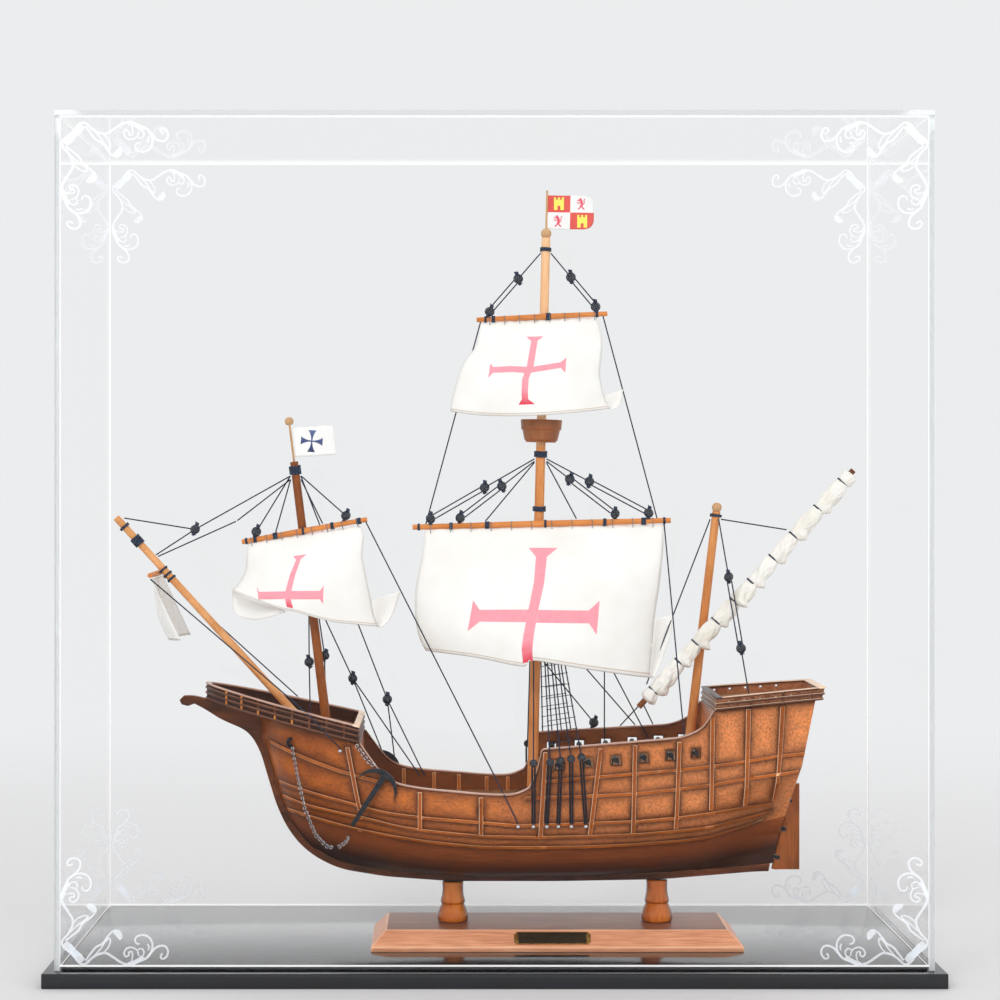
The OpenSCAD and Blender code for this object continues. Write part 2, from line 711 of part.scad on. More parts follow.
module rudder() {
    rise = rudder_high - rudder_low;
    color("#8c4a22") difference() {
        union() {
            on_rudder_axis() cylinder(d = rudder_t, h = rudder_rise, $fn = round_fn);
            translate([leaned_x(100, rudder_low) + hang_back, ship_y, rudder_low])
                rotate([90, 0, 0]) linear_extrude(rudder_t * 0.8, center = true) polygon([
                    [0, 0], [rudder_l, 0], [rake_slope * rise + rudder_head, rise], [rake_slope * rise, rise]
                ]);
        }
        on_rudder_axis() for (f = ring_levels) {
            translate([0, 0, f * rudder_rise - ring_play])
                cylinder(d = ring_d + 2 * ring_play + 0.4, h = ring_h + 2 * ring_play, $fn = round_fn);
            translate([0, 0, f * rudder_rise - ring_play - pin_seat])
                cylinder(d = pin_d, h = ring_h + 2 * (ring_play + pin_seat), $fn = pin_round);
        }
    }
}

module rudder_pins() {
    color("#2b2b2d") on_rudder_axis() for (f = ring_levels)
        translate([0, 0, f * rudder_rise - ring_play - pin_seat])
            cylinder(d = pin_d, h = ring_h + 2 * (ring_play + pin_seat), $fn = pin_round);
}

// ---- Cannons in the ports ----
barrel_out = 3;
barrel_in = 9;
carriage_w = 6;
carriage_l = 8;
module cannon(u, side) {
    z = port_z(u);
    x = leaned_x(u, z);
    skin = side_half(u, z);
    low = deck_z(u) + deck_t + 0.3;
    inside = inner_half(u, deck_z(u)) - 1.5;
    translate([x, ship_y, 0]) {
        translate([0, side * (skin + barrel_out), z]) rotate([side * 90, 0, 0])
            cylinder(d = cannon_d, h = skin + barrel_out - inside + barrel_in, $fn = round_fn);
        translate([-carriage_w / 2, side < 0 ? -inside : inside - carriage_l, low])
            cube([carriage_w, carriage_l, z - low]);
    }
}

module cannons() {
    color("#232327") for (u = ports_u) for (side = [-1, 1]) cannon(u, side);
}

// ---- Masts: each is a straight pole that leans along the hull ----
step_depth = 6;
main_u = 51.05;
main_lean = 0.0251;
main_step = hull_z(41) - step_depth;
main_top = main_step + main_mast_l;
fore_u = 12.6;
fore_lean = -0.124;
fore_step = castle_floor_z(fore_u) + tray_floor_t + deck_t - step_depth;
fore_top = fore_step + fore_mast_l;
mizzen_u = 80.2;
mizzen_lean = 0.1185;
mizzen_step = deck_z(mizzen_u) + deck_t - step_depth;
mizzen_top = mizzen_step + mizzen_mast_l;
function main_at(z) = [hull_x(main_u) + main_lean * (z - main_step), ship_y, z];
function fore_at(z) = [hull_x(fore_u) + fore_lean * (z - fore_step), ship_y, z];
function mizzen_at(z) = [hull_x(mizzen_u) + mizzen_lean * (z - mizzen_step), ship_y, z];
function main_d_at(z) = main_mast_d + (main_head_d - main_mast_d) * (z - main_step) / main_mast_l;

bowsprit_rise = 47.6;
bowsprit_u = 7.6;
bowsprit_dir = [-cos(bowsprit_rise), 0, sin(bowsprit_rise)];
bowsprit_heel = [hull_x(bowsprit_u), ship_y, castle_floor_z(bowsprit_u) + tray_floor_t - 1];
function sprit_at(from_tip) = bowsprit_heel + (bowsprit_l - from_tip) * bowsprit_dir;

module main_mast() {
    color("#a0602c") rod(main_at(main_step), main_at(main_top), main_mast_d, main_head_d);
}

module fore_mast() {
    color("#a0602c") rod(fore_at(fore_step), fore_at(fore_top), fore_mast_d, 0.86 * fore_mast_d);
}

module mizzen_mast() {
    color("#b8793c") rod(mizzen_at(mizzen_step), mizzen_at(mizzen_top), mizzen_mast_d, 0.86 * mizzen_mast_d);
}

module bowsprit() {
    color("#b8793c") rod(bowsprit_heel, sprit_at(0), bowsprit_d, 0.86 * bowsprit_d);
}

// Places its children on a leaning mast, with +Z up the mast
module on_mast(point, lean) {
    translate(point) rotate([0, atan(lean), 0]) children();
}

nest_z = 435;
nest_low_d = nest_d * 0.74;
module crows_nest() {
    color("#7c4526") on_mast(main_at(nest_z), main_lean) difference() {
        rotate_extrude($fn = round_fn) polygon([
            [0, 0], [nest_low_d / 2, 0], [nest_low_d / 2, 1.5], [nest_low_d / 2 + 1, 1.5],
            [nest_d / 2 - 1.6, nest_h * 0.55], [nest_d / 2 - 0.6, nest_h * 0.55], [nest_d / 2, nest_h],
            [nest_d / 2 - nest_wall, nest_h], [nest_low_d / 2 - nest_wall + 1, nest_wall], [0, nest_wall]
        ]);
        translate([0, 0, -cut])
            cylinder(d = main_d_at(nest_z) + 0.1, h = nest_wall + 2 * cut, $fn = round_fn);
    }
}

// Balls on the mast heads
staff_base = 2;
module truck(point, lean, d) {
    on_mast(point, lean) difference() {
        translate([0, 0, d * 0.4]) sphere(d = d, $fn = round_fn);
        translate([-d, -d, -2 * d]) cube(2 * d);
        translate([0, 0, d * 0.4]) cylinder(d = staff_d, h = d, $fn = round_fn);
    }
}

fore_staff_l = 31;
main_staff_l = 40;
mizzen_truck_d = truck_d * 0.93;
module mast_trucks() {
    color("#c89a62") {
        truck(main_at(main_top), main_lean, truck_d);
        truck(mizzen_at(mizzen_top), mizzen_lean, mizzen_truck_d);
        truck(fore_at(fore_top + fore_staff_l), fore_lean, truck_d * 0.84);
    }
}

module flag_staffs() {
    color("#c89a62") {
        on_mast(main_at(main_top), main_lean) translate([0, 0, truck_d * 0.4])
            cylinder(d = staff_d, h = main_staff_l - truck_d * 0.4, $fn = round_fn);
        on_mast(fore_at(fore_top), fore_lean) cylinder(d = staff_d, h = fore_staff_l, $fn = round_fn);
    }
}

// ---- Yards ----
seat_gap = 0.3;
main_yard_z = main_step + 240;
top_yard_z = main_step + 414;
fore_yard_z = fore_step + 169;
main_yard_tilt = 1.5;
top_yard_tilt = 2.7;
fore_yard_tilt = 10.2;
lateen_tilt = 47.8;
lateen_low_share = 0.3;
sprit_from_tip = 58;
function tilted(angle) = [cos(angle), 0, sin(angle)];
function before_mast(point, mast_d, yard_d) = point - [0, mast_d / 2 + yard_d / 2 + seat_gap, 0];
main_yard_c = before_mast(main_at(main_yard_z), main_mast_d, main_yard_d) + [2, 0, 0];
top_yard_c = before_mast(main_at(top_yard_z), main_d_at(top_yard_z), small_yard_d) + [-2, 0, 0];
fore_yard_c = before_mast(fore_at(fore_yard_z), fore_mast_d, small_yard_d) + [2, 0, 0];
function main_yard_at(s) = main_yard_c + s * main_yard_l / 2 * tilted(main_yard_tilt);
function top_yard_at(s) = top_yard_c + s * top_yard_l / 2 * tilted(top_yard_tilt);
function fore_yard_at(s) = fore_yard_c + s * fore_yard_l / 2 * tilted(fore_yard_tilt);
sprit_under = (bowsprit_d + small_yard_d) / 2 + seat_gap;
sprit_c = sprit_at(sprit_from_tip) - sprit_under * [sin(bowsprit_rise), 0, cos(bowsprit_rise)];
function sprit_yard_at(s) = sprit_c + [0, s * sprit_yard_l / 2, 0];
gasket_out = 0.6;
lateen_cross_z = mizzen_step + 107.6;
lateen_c = before_mast(mizzen_at(lateen_cross_z), mizzen_mast_d, furl_d + 2 * gasket_out);
lateen_low = lateen_c - lateen_low_share * lateen_yard_l * tilted(lateen_tilt);
function lateen_at(along) = lateen_low + along * tilted(lateen_tilt);

module tapered_yard(a, b, d) {
    mid = (a + b) / 2;
    rod(mid, a, d, 0.8 * d);
    rod(mid, b, d, 0.8 * d);
}

module main_yard() {
    color("#b06d38") tapered_yard(main_yard_at(-1), main_yard_at(1), main_yard_d);
}

module top_yard() {
    color("#b06d38") tapered_yard(top_yard_at(-1), top_yard_at(1), small_yard_d);
}

module fore_yard() {
    color("#b06d38") tapered_yard(fore_yard_at(-1), fore_yard_at(1), small_yard_d);
}

module sprit_yard() {
    color("#b06d38") tapered_yard(sprit_yard_at(-1), sprit_yard_at(1), small_yard_d);
}

module lateen_yard() {
    color("#7c4526") rod(lateen_at(0), lateen_at(lateen_yard_l), small_yard_d);
}

// ---- Sails ----
sail_cols = 10;
sail_rows = 8;
belly_turn = 112;
// A point of a sail hung between four corners; the belly pushes it along the given direction
function sail_point(c, push, s, t) =
    (1 - t) * ((1 - s) * c[0] + s * c[1]) + t * ((1 - s) * c[2] + s * c[3])
    + push * sin(belly_turn * t) * pow(1 - pow(2 * s - 1, 2), 0.8);
module sail(c, push, thick) {
    loft([for (i = [0 : sail_cols]) let (s = i / sail_cols) concat(
        [for (j = [0 : sail_rows]) sail_point(c, push, s, j / sail_rows)],
        [for (j = [sail_rows : -1 : 0]) sail_point(c, push, s, j / sail_rows) + thick]
    )]);
}
head_share = 0.92;
function under(yard_point, yard_d) = yard_point - [0, 0, yard_d / 2 + seat_gap];

main_sail_c = [
    under(main_yard_at(-head_share), main_yard_d), under(main_yard_at(head_share), main_yard_d),
    under(main_yard_at(-head_share), main_yard_d) + [0, -12, -0.87 * main_sail_h],
    under(main_yard_at(head_share), main_yard_d) + [-6, -12, -1.04 * main_sail_h]
];
top_sail_c = [
    under(top_yard_at(-0.9), small_yard_d), under(top_yard_at(0.9), small_yard_d),
    under(top_yard_at(-0.9), small_yard_d) + [-26, -6, -0.96 * top_sail_h],
    under(top_yard_at(0.9), small_yard_d) + [14, -6, -top_sail_h]
];
fore_sail_c = [
    under(fore_yard_at(-0.9), small_yard_d), under(fore_yard_at(0.9), small_yard_d),
    under(fore_yard_at(-0.9), small_yard_d) + [-6, -10, -0.74 * fore_sail_h],
    under(fore_yard_at(0.9), small_yard_d) + [14, -10, -1.1 * fore_sail_h]
];
sprit_sail_c = [
    under(sprit_yard_at(-0.86), small_yard_d), under(sprit_yard_at(0.86), small_yard_d),
    under(sprit_yard_at(-0.8), small_yard_d) + [24, 0, -0.94 * sprit_sail_h],
    under(sprit_yard_at(0.8), small_yard_d) + [24, 0, -0.94 * sprit_sail_h]
];
module main_sail() {
    color("#f1efe9") sail(main_sail_c, [0, -38, 0], [0, -cloth_t, 0]);
}

module top_sail() {
    color("#f1efe9") sail(top_sail_c, [0, -20, 0], [0, -cloth_t, 0]);
}

module fore_sail() {
    color("#f1efe9") sail(fore_sail_c, [0, -24, 0], [0, -cloth_t, 0]);
}

module sprit_sail() {
    color("#f1efe9") sail(sprit_sail_c, [-14, 0, -2], [-cloth_t, 0, 0]);
}

furl_from = 9;
furl_to = lateen_yard_l - 5;
gasket_w = 2.2;
gaskets_at = [6.5, 18.5, 26.4, 35.6, 44.1, 52.2, 62.2, 71.8, 83.2, 94.4];
function gasket_along(i) = gaskets_at[i] / 100 * lateen_yard_l;
module lateen_furled() {
    color("#efece3") difference() {
        rod(lateen_at(furl_from), lateen_at(furl_to), furl_d);
        lateen_yard();
    }
}

module lateen_gaskets() {
    for (i = [0 : len(gaskets_at) - 1]) {
        along = gasket_along(i);
        difference() {
            rod(lateen_at(along), lateen_at(along + gasket_w), furl_d + 2 * gasket_out);
            rod(lateen_at(along - cut), lateen_at(along + gasket_w + cut), furl_d);
        }
    }
}

flag_t = 0.6;
fly_round = 8;
fore_flag_l = 36;
fore_flag_h = 25;
flag_clear = staff_d / 2 + 0.05;
module main_flag() {
    color("#d8413c") on_mast(main_at(main_top), main_lean)
        translate([flag_clear, flag_t / 2, main_staff_l - flag_h - 4]) rotate([90, 0, 0])
            linear_extrude(flag_t) hull() {
                square([flag_l / 2, flag_h]);
                for (y = [fly_round, flag_h - fly_round])
                    translate([flag_l - fly_round, y]) circle(r = fly_round, $fn = 32);
            }
}

module fore_flag() {
    color("#f4f4f2") on_mast(fore_at(fore_top), fore_lean)
        translate([flag_clear, flag_t / 2, fore_staff_l - fore_flag_h - 4.5]) rotate([90, 0, 0])
            linear_extrude(flag_t) square([fore_flag_l, fore_flag_h]);
}

// ---- Lashings of black thread round the spars ----
wrap_out = 1.2;
nest_band_z = nest_z - 13;
nest_band_h = 6;
parrel_z = main_step + 250;
parrel_h = 5;
hounds_z = main_step + 228;
hounds_h = 7;
top_band_z = main_top - 12;
top_band_h = 4;
fore_band_z = fore_top - 11;
fore_band_h = 8;
mizzen_band_z = mizzen_top - 5;
mizzen_band_h = 3;
module mast_band(low, high, d) {
    rod(low, high, d + 2 * wrap_out);
}

module yard_band(a, b, d) {
    rod(a, b, d + 2 * wrap_out);
}

module lashings() {
    color("#2a2f3d") {
        difference() {
            union() {
                mast_band(main_at(nest_band_z), main_at(nest_band_z + nest_band_h), main_mast_d);
                mast_band(main_at(parrel_z), main_at(parrel_z + parrel_h), main_mast_d);
                mast_band(main_at(hounds_z), main_at(hounds_z + hounds_h), main_mast_d);
                mast_band(main_at(top_band_z), main_at(top_band_z + top_band_h), main_head_d);
            }
            main_mast();
        }
        difference() {
            mast_band(fore_at(fore_band_z), fore_at(fore_band_z + fore_band_h), fore_mast_d);
            fore_mast();
        }
        difference() {
            mast_band(mizzen_at(mizzen_band_z), mizzen_at(mizzen_band_z + mizzen_band_h), mizzen_mast_d);
            mizzen_mast();
        }
        difference() {
            for (span = [[9, 12], [22, 31]])
                mast_band(sprit_at(span[0]), sprit_at(span[1]), bowsprit_d);
            bowsprit();
        }
        lateen_gaskets();
    }
}

// ---- Blocks, deadeyes and lines ----
rope_r = rope_d / 2;
touch = 0.1;
block_r = block_d / 2;
// A point beside a mast, on the side that faces the target
function beside(axis, target, d) = let (
        v = [target[0] - axis[0], target[1] - axis[1], 0]
    ) axis + (d / 2 + rope_r + touch) * v / norm(v);
function on_yard(point, d) = point + [0, 0, d / 2 + block_r + touch];
function behind(point, d) = point + [0, d / 2 + rope_r + touch, 0];
function on_rail(u, side) = let (
        mid = (top_half(u) + rim_point(u)[0]) / 2
    ) [leaned_x(u, sheer_z(u)), ship_y + side * mid, sheer_z(u) + cap_t + rope_r + 0.3];
function inside_rail(u, side, z) =
    [leaned_x(u, z), ship_y + side * (inner_half(u, deck_z(u)) - rope_r - 0.4), z];

module line(p, q, short_p = 0, short_q = 0) {
    d = (q - p) / norm(q - p);
    rod(p + short_p * d, q - short_q * d, rope_d);
}

// Each tackle: where its rope leaves the mast, its upper block and its lower block
nest_start_z = nest_band_z - 1;
top_start_z = top_band_z - 1;
fore_start_z = fore_band_z - 1;
function lift(axis, d, low, f) = let (start = beside(axis, low, d)) [start, along_line(start, low, f), low];
tackles = [
    lift(main_at(nest_start_z), main_mast_d, on_yard(main_yard_at(-0.86), main_yard_d), 0.48),
    lift(main_at(nest_start_z), main_mast_d, on_yard(main_yard_at(0.83), main_yard_d), 0.42),
    lift(main_at(nest_start_z - 2), main_mast_d, on_yard(main_yard_at(-0.63), main_yard_d), 0.44),
    lift(main_at(nest_start_z - 2), main_mast_d, on_yard(main_yard_at(0.57), main_yard_d), 0.34),
    lift(main_at(top_start_z), main_head_d, on_yard(top_yard_at(-0.8), small_yard_d), 0.44),
    lift(main_at(top_start_z), main_head_d, on_yard(top_yard_at(0.82), small_yard_d), 0.45)
];
// Lines from the nest band and the fore band straight to a yard
main_line_s = [-0.435, 0.27];
fore_line_s = [-0.46, 0.29];
fore_lift_s = [-0.77, 0.66];
// Blocks that hang in the lines aft of the foremast
fore_far_block = fore_at(fore_start_z) + [76, 43, -192];
fore_low_block = fore_at(fore_step + 112) + [34, 30, -70];
foot_blocks = [fore_at(fore_step + 58) + [-8.4, 3, 0], fore_at(fore_step + 63) + [5, 7.6, 0]];
stay_block = fore_at(fore_start_z) + [-85, 0, -45];
stay_bend = fore_at(fore_start_z) + [-50, 2, -38];
mizzen_end = [leaned_x(90, poop_floor_z(90)), ship_y - 42, poop_floor_z(90) + tray_floor_t + deck_t + touch];
mizzen_start = beside(mizzen_at(mizzen_band_z - 1.6), mizzen_end, mizzen_mast_d);
mizzen_blocks = [along_line(mizzen_start, mizzen_end, 0.32), along_line(mizzen_start, mizzen_end, 0.71)];
rail_block_u = 63.6;
rail_block = on_rail(rail_block_u, 1) + [0, 0, block_r];

cheek_angle = 52;
module block(p) {
    arc = [for (a = [-cheek_angle : cheek_angle / 4 : cheek_angle]) block_r * [cos(a), sin(a)]];
    cheek = block_r * sin(cheek_angle);
    translate(p) rotate([90, 0, 0]) rotate_extrude($fn = round_fn)
        polygon(concat([[0, -cheek]], arc, [[0, cheek]]));
}

module blocks() {
    color("#22252e") {
        for (t = tackles) {
            block(t[1]);
            block(t[2]);
        }
        for (s = fore_lift_s) block(on_yard(fore_yard_at(s), small_yard_d));
        for (p = foot_blocks) block(p);
        for (p = mizzen_blocks) block(p);
        block(fore_far_block);
        block(fore_low_block);
        block(stay_block);
        block(rail_block);
    }
}

module pair_of_lines(p, q) {
    off = block_r * 0.5;
    v = (q - p) / norm(q - p);
    side = cross(v, [0, 1, 0]);
    trim = sqrt(block_r * block_r - pow(off - rope_r, 2)) + 0.05;
    for (k = [-1, 1]) line(p + k * off * side, q + k * off * side, trim, trim);
}

module tackle_lines(start, upper, lower) {
    line(start, upper, 0, block_r + 0.05);
    pair_of_lines(upper, lower);
}

// Braces of the spritsail yard: over the forecastle's rail, down its side, to a nail in the hull
bow_nail_u = 15.6;
bow_nail_z = 73.5;
function past_tray(u, up, side) = let (
        half = lookup(u, fore_plan) / 100 * hull_b / 2 + moulding_out + rope_d + 0.3
    ) [leaned_x(u, castle_floor_z(u)), ship_y + side * half, castle_floor_z(u) + up];
nail_out = 3.4;
nail_d = 3;
function above_nail(u, p, side) =
    on_side(u, hull_z(p) + nail_d / 2 + rope_r + 0.3, side, rib_out + rope_r + 0.4);
module sprit_brace(side, over_u) {
    over = past_tray(over_u, castle_h + cap_t, side);
    low = past_tray(over_u + 4.5, -2, side);
    start = sprit_yard_at(side * 0.93) + [0, 0, -(small_yard_d / 2 + rope_r + touch)];
    line(start, over, 0, rope_r);
    line(over, low, rope_r, rope_r);
    line(low, above_nail(bow_nail_u, bow_nail_z, side), rope_r, 0);
}

brace_nail_u = 48;
brace_nail_z = 33.6;
brace_rail_u = 45.4;
module fore_brace() {
    rail = on_rail(brace_rail_u, -1) + [0, -cap_w / 2 - rope_r, -0.2];
    line(behind(fore_yard_at(0.96), small_yard_d), rail, 0, rope_r);
    line(rail, above_nail(brace_nail_u, brace_nail_z, -1), rope_r, 0);
}

module running_rigging() {
    nest = main_at(nest_start_z - 3);
    fore = fore_at(fore_start_z);
    lateen_up = [-sin(lateen_tilt), 0, cos(lateen_tilt)] * (furl_d / 2 + gasket_out + rope_r + 0.3);
    color("#262c3a") {
        for (t = tackles) tackle_lines(t[0], t[1], t[2]);
        for (s = main_line_s) {
            low = main_yard_at(s) + [0, 0, main_yard_d / 2 + rope_r + touch];
            line(beside(nest, low, main_mast_d), low);
        }
        for (s = fore_line_s) {
            low = fore_yard_at(s) + [0, 0, small_yard_d / 2 + rope_r + touch];
            line(beside(fore - [0, 0, 3], low, fore_mast_d), low);
        }
        for (s = fore_lift_s) {
            low = on_yard(fore_yard_at(s), small_yard_d);
            pair_start = beside(fore, low, fore_mast_d);
            line(pair_start, low, 0, block_r + 0.05);
        }
        // Sheets of the topsail
        for (s = [-0.93, 0.93])
            line(behind(top_yard_at(s), small_yard_d), behind(main_yard_at(0.97 * s), main_yard_d));
        // Stays from the foremast to the bowsprit
        line(beside(fore, stay_block, fore_mast_d), stay_block, 0, block_r + 0.05);
        line(stay_block, sprit_at(10) + [0, 0, bowsprit_d], block_r + 0.05, 0);
        line(stay_block, sprit_at(50) + [0, 0, bowsprit_d * 0.8], block_r + 0.05, 0);
        line(beside(fore - [0, 0, 3], stay_bend, fore_mast_d), stay_bend, 0, rope_r);
        line(stay_bend, sprit_at(52) + [0, 2, bowsprit_d * 0.8], rope_r, 0);
        sprit_brace(-1, 9.5);
        sprit_brace(1, 6.3);
        fore_brace();
        // Lines from the foremast to the far rail
        line(beside(fore, fore_far_block, fore_mast_d), fore_far_block, 0, block_r + 0.05);
        line(fore_far_block, on_rail(25, 1), block_r + 0.05, 0);
        line(fore_far_block, inside_rail(30.8, 1, sheer_z(30.8) - 5), block_r + 0.05, 0);
        low_axis = fore_at(fore_step + 112);
        line(beside(low_axis, fore_low_block, fore_mast_d), fore_low_block, 0, block_r + 0.05);
        line(fore_low_block, on_rail(22.4, 1), block_r + 0.05, 0);
        line(fore_low_block, inside_rail(29.8, 1, sheer_z(29.8) - 5), block_r + 0.05, 0);
        // Falls at the foot of the foremast
        for (p = foot_blocks) {
            deck = castle_floor_z((p[0] - bow_x) / hull_l * 100) + tray_floor_t + deck_t + 0.3;
            line(beside(fore_at(p[2] + 60), p, fore_mast_d), p, 0, block_r + 0.05);
            line(p, [p[0] + 1, p[1], deck], block_r + 0.05, 0);
        }
        // Mizzen gear
        line(mizzen_start, mizzen_blocks[0], 0, block_r + 0.05);
        pair_of_lines(mizzen_blocks[0], mizzen_blocks[1]);
        line(mizzen_blocks[1], mizzen_end, block_r + 0.05, 0);
        mizzen = mizzen_at(mizzen_band_z - 1.6);
        line(beside(mizzen, lateen_at(gasket_along(7) + gasket_w / 2), mizzen_mast_d), lateen_at(gasket_along(7) + gasket_w / 2) + lateen_up);
        line(beside(mizzen, lateen_at(gasket_along(0) + gasket_w / 2), mizzen_mast_d), lateen_at(gasket_along(0) + gasket_w / 2) + lateen_up);
        line(lateen_at(2) + [0, small_yard_d, 0], on_rail(68.7, 1));
        line(lateen_at(5) + [0, small_yard_d, 0], on_rail(74.9, 1));
        // Main brace and the main backstays
        line(behind(main_yard_at(0.95), main_yard_d), on_rail(78.5, -1));
        line(beside(main_at(main_step + 128), rail_block, main_mast_d), rail_block, 0, block_r + 0.05);
        line(beside(main_at(main_step + 161), on_rail(71.5, 1), main_mast_d), on_rail(71.5, 1));
        line(behind(main_yard_at(0.49), main_yard_d), inside_rail(65.6, 1, sheer_z(65.6) - 9));
        aft = inside_rail(74, 1, sheer_z(74) - 10);
        line(beside(main_at(hounds_z - 1), aft, main_mast_d), aft);
    }
}

// ---- Shrouds ----
deadeye_d = 6;
deadeye_t = 3.4;
deadeye_half = 78;
deadeye_first = 53.8;
deadeye_step = 1.9;
deadeye_count = 4;
deadeye_low_z = 68.6;
deadeye_rise = 0.9;
front_deadeye_u = 50.8;
nails_u = [53.2, 55.3, 57.7, 60.3];
front_nail_u = 50.8;
chain_nail_z = 33.6;
function deadeye_at(i, side) = [
    hull_x(deadeye_first + deadeye_step * i),
    ship_y + side * (hull_b / 2 + deadeye_half - 75),
    hull_z(deadeye_low_z + deadeye_rise * i)
];
function front_deadeye(side) = [
    hull_x(front_deadeye_u), ship_y + side * (hull_b / 2 + deadeye_half - 75), hull_z(deadeye_low_z - 0.6)
];
shroud_top = main_at(hounds_z - 1.2);
// One point on each side from which the four aft shrouds spread in one plane
function shroud_start(side) = beside(shroud_top, deadeye_at(2, side), main_mast_d + 1);

module deadeyes() {
    color("#1e2128") for (side = [-1, 1]) {
        for (i = [0 : deadeye_count - 1]) deadeye(deadeye_at(i, side));
        deadeye(front_deadeye(side));
    }
}

module deadeye(p) {
    translate(p) rotate([90, 0, 0]) translate([0, 0, -deadeye_t / 2]) rotate_extrude($fn = round_fn)
        polygon([
            [0, 0], [deadeye_d / 2 - 0.8, 0], [deadeye_d / 2, 0.8], [deadeye_d / 2, deadeye_t - 0.8],
            [deadeye_d / 2 - 0.8, deadeye_t], [0, deadeye_t]
        ]);
}

module shrouds() {
    color("#262c3a") for (side = [-1, 1]) {
        for (i = [0 : deadeye_count - 1]) {
            start = shroud_start(side) + [(i - (deadeye_count - 1) / 2) * (rope_d + touch), 0, 0];
            line(start, deadeye_at(i, side), 0, deadeye_d / 2 + 0.3);
        }
        front = beside(shroud_top, front_deadeye(side), main_mast_d + 1) - [2 * rope_d + 1.4, 0, 1];
        line(front, front_deadeye(side), 0, deadeye_d / 2 + 0.3);
    }
}

ratline_d = 0.6;
ratline_levels = [0.42 : 0.05 : 0.93];
module ratlines() {
    color("#262c3a") for (side = [-1, 1]) {
        a0 = shroud_start(side) + [-(deadeye_count - 1) / 2 * (rope_d + touch), 0, 0];
        b0 = shroud_start(side) + [(deadeye_count - 1) / 2 * (rope_d + touch), 0, 0];
        a1 = deadeye_at(0, side);
        b1 = deadeye_at(deadeye_count - 1, side);
        off = [0, side * (rope_r + ratline_d / 2 + 0.12), 0];
        for (f = ratline_levels) {
            p = along_line(a0, a1, f) + off;
            q = along_line(b0, b1, f) + off;
            rod(p - (q - p) / norm(q - p), q + (q - p) / norm(q - p), ratline_d);
        }
    }
}

lanyard_d = 1.2;
module lanyard_pair(eye, nail) {
    for (k = [-1, 1])
        rod(
            eye + [k * 1.1, 0, -deadeye_d / 2 - 0.3],
            [nail[0] + k * 0.9, eye[1] * 0.3 + nail[1] * 0.7, nail[2] + nail_d / 2 + 0.8],
            lanyard_d
        );
}

module lanyards() {
    color("#2b313f") for (side = [-1, 1]) {
        for (i = [0 : deadeye_count - 1])
            lanyard_pair(deadeye_at(i, side), on_side(nails_u[i], hull_z(chain_nail_z), side, nail_out));
        lanyard_pair(
            front_deadeye(side),
            on_side(front_nail_u, hull_z(chain_nail_z), side, nail_out)
        );
    }
}

module nail(u, p, side) {
    at = on_side(u, hull_z(p), side, 0);
    translate(at) rotate([side * -90, 0, 0]) translate([0, 0, -1])
        cylinder(d = nail_d, h = nail_out + 1, $fn = pin_round);
}

module hull_nails() {
    color("#d8d8da") for (side = [-1, 1]) {
        for (u = nails_u) nail(u, chain_nail_z, side);
        nail(front_nail_u, chain_nail_z, side);
        nail(brace_nail_u, brace_nail_z, side);
        nail(bow_nail_u, bow_nail_z, side);
    }
}

// ---- Anchors and their cables ----
anchor_t = 3;
anchor_half = 71.5;
anchor_u = 17.9;
anchor_low_z = 33.8;
anchor_lean = 33;
arm_r = 17.5;
arm_w = 4.5;
function anchor_ring(side) = [hull_x(anchor_u), ship_y + side * (hull_b / 2 + anchor_half - 75), hull_z(anchor_low_z)];

module anchor_outline() {
    shank_w = 3.6;
    difference() {
        translate([0, anchor_l - arm_r]) circle(r = arm_r, $fn = round_fn);
        translate([0, anchor_l - arm_r - arm_w]) circle(r = arm_r + 0.4, $fn = round_fn);
    }
    polygon([
        [-shank_w / 2, 0], [shank_w / 2, 0], [shank_w / 2 + 0.6, anchor_l - 2], [-shank_w / 2 - 0.6, anchor_l - 2]
    ]);
}

module anchors() {
    color("#2b2b2d") for (side = [-1, 1])
        translate(anchor_ring(side)) rotate([0, anchor_lean, 0]) rotate([90, 0, 0])
            linear_extrude(anchor_t, center = true) anchor_outline();
}

// The cable hangs in a bight between the hawse hole and the anchor: station and height, in per cent
cable_course = [
    [6.6, 73.4], [7.6, 58], [9, 41], [11, 27], [13.2, 21], [15, 20.6], [16.6, 24], [17.4, 28.5]
];
hawse_u = 6.2;
hawse_z = 76.5;
link_r = (link_d - link_wire) / 2;
link_pitch = 2 * link_r - link_wire - 0.12;
function cable_point(i, side) = let (
        f = i / (len(cable_course) - 1),
        from = side_half(hawse_u, hull_z(hawse_z)) + wale_out + link_d / 2 + 1.2,
        to = hull_b / 2 + anchor_half - 75
    ) [hull_x(cable_course[i][0]), ship_y + side * (from + f * (to - from)), hull_z(cable_course[i][1])];
function walk(points, i, left) = let (step = norm(points[i + 1] - points[i]))
    i >= len(points) - 2 || left <= step
        ? [points[i] + left / step * (points[i + 1] - points[i]), (points[i + 1] - points[i]) / step]
        : walk(points, i + 1, left - step);
function total(points) = [for (i = [1 : len(points) - 1]) 1]
    * [for (i = [1 : len(points) - 1]) norm(points[i] - points[i - 1])];

module link() {
    rotate([90, 0, 0]) rotate_extrude($fn = round_fn) translate([link_r, 0]) circle(d = link_wire, $fn = 24);
}

module chain(points) {
    for (k = [0 : floor(total(points) / link_pitch)]) {
        at = walk(points, 0, k * link_pitch);
        d = at[1];
        translate(at[0]) rotate([0, acos(d[2]), atan2(d[1], d[0])]) rotate([0, 0, k % 2 * 90]) link();
    }
}

// A short chain holds each anchor's crown up to the forecastle: x, half breadth and height
stopper_course = [[-111.5, 65.5, 185.7], [-106, 68.5, 178.5], [-101.5, 70.5, 173], [-97.5, 71, 170.4]];

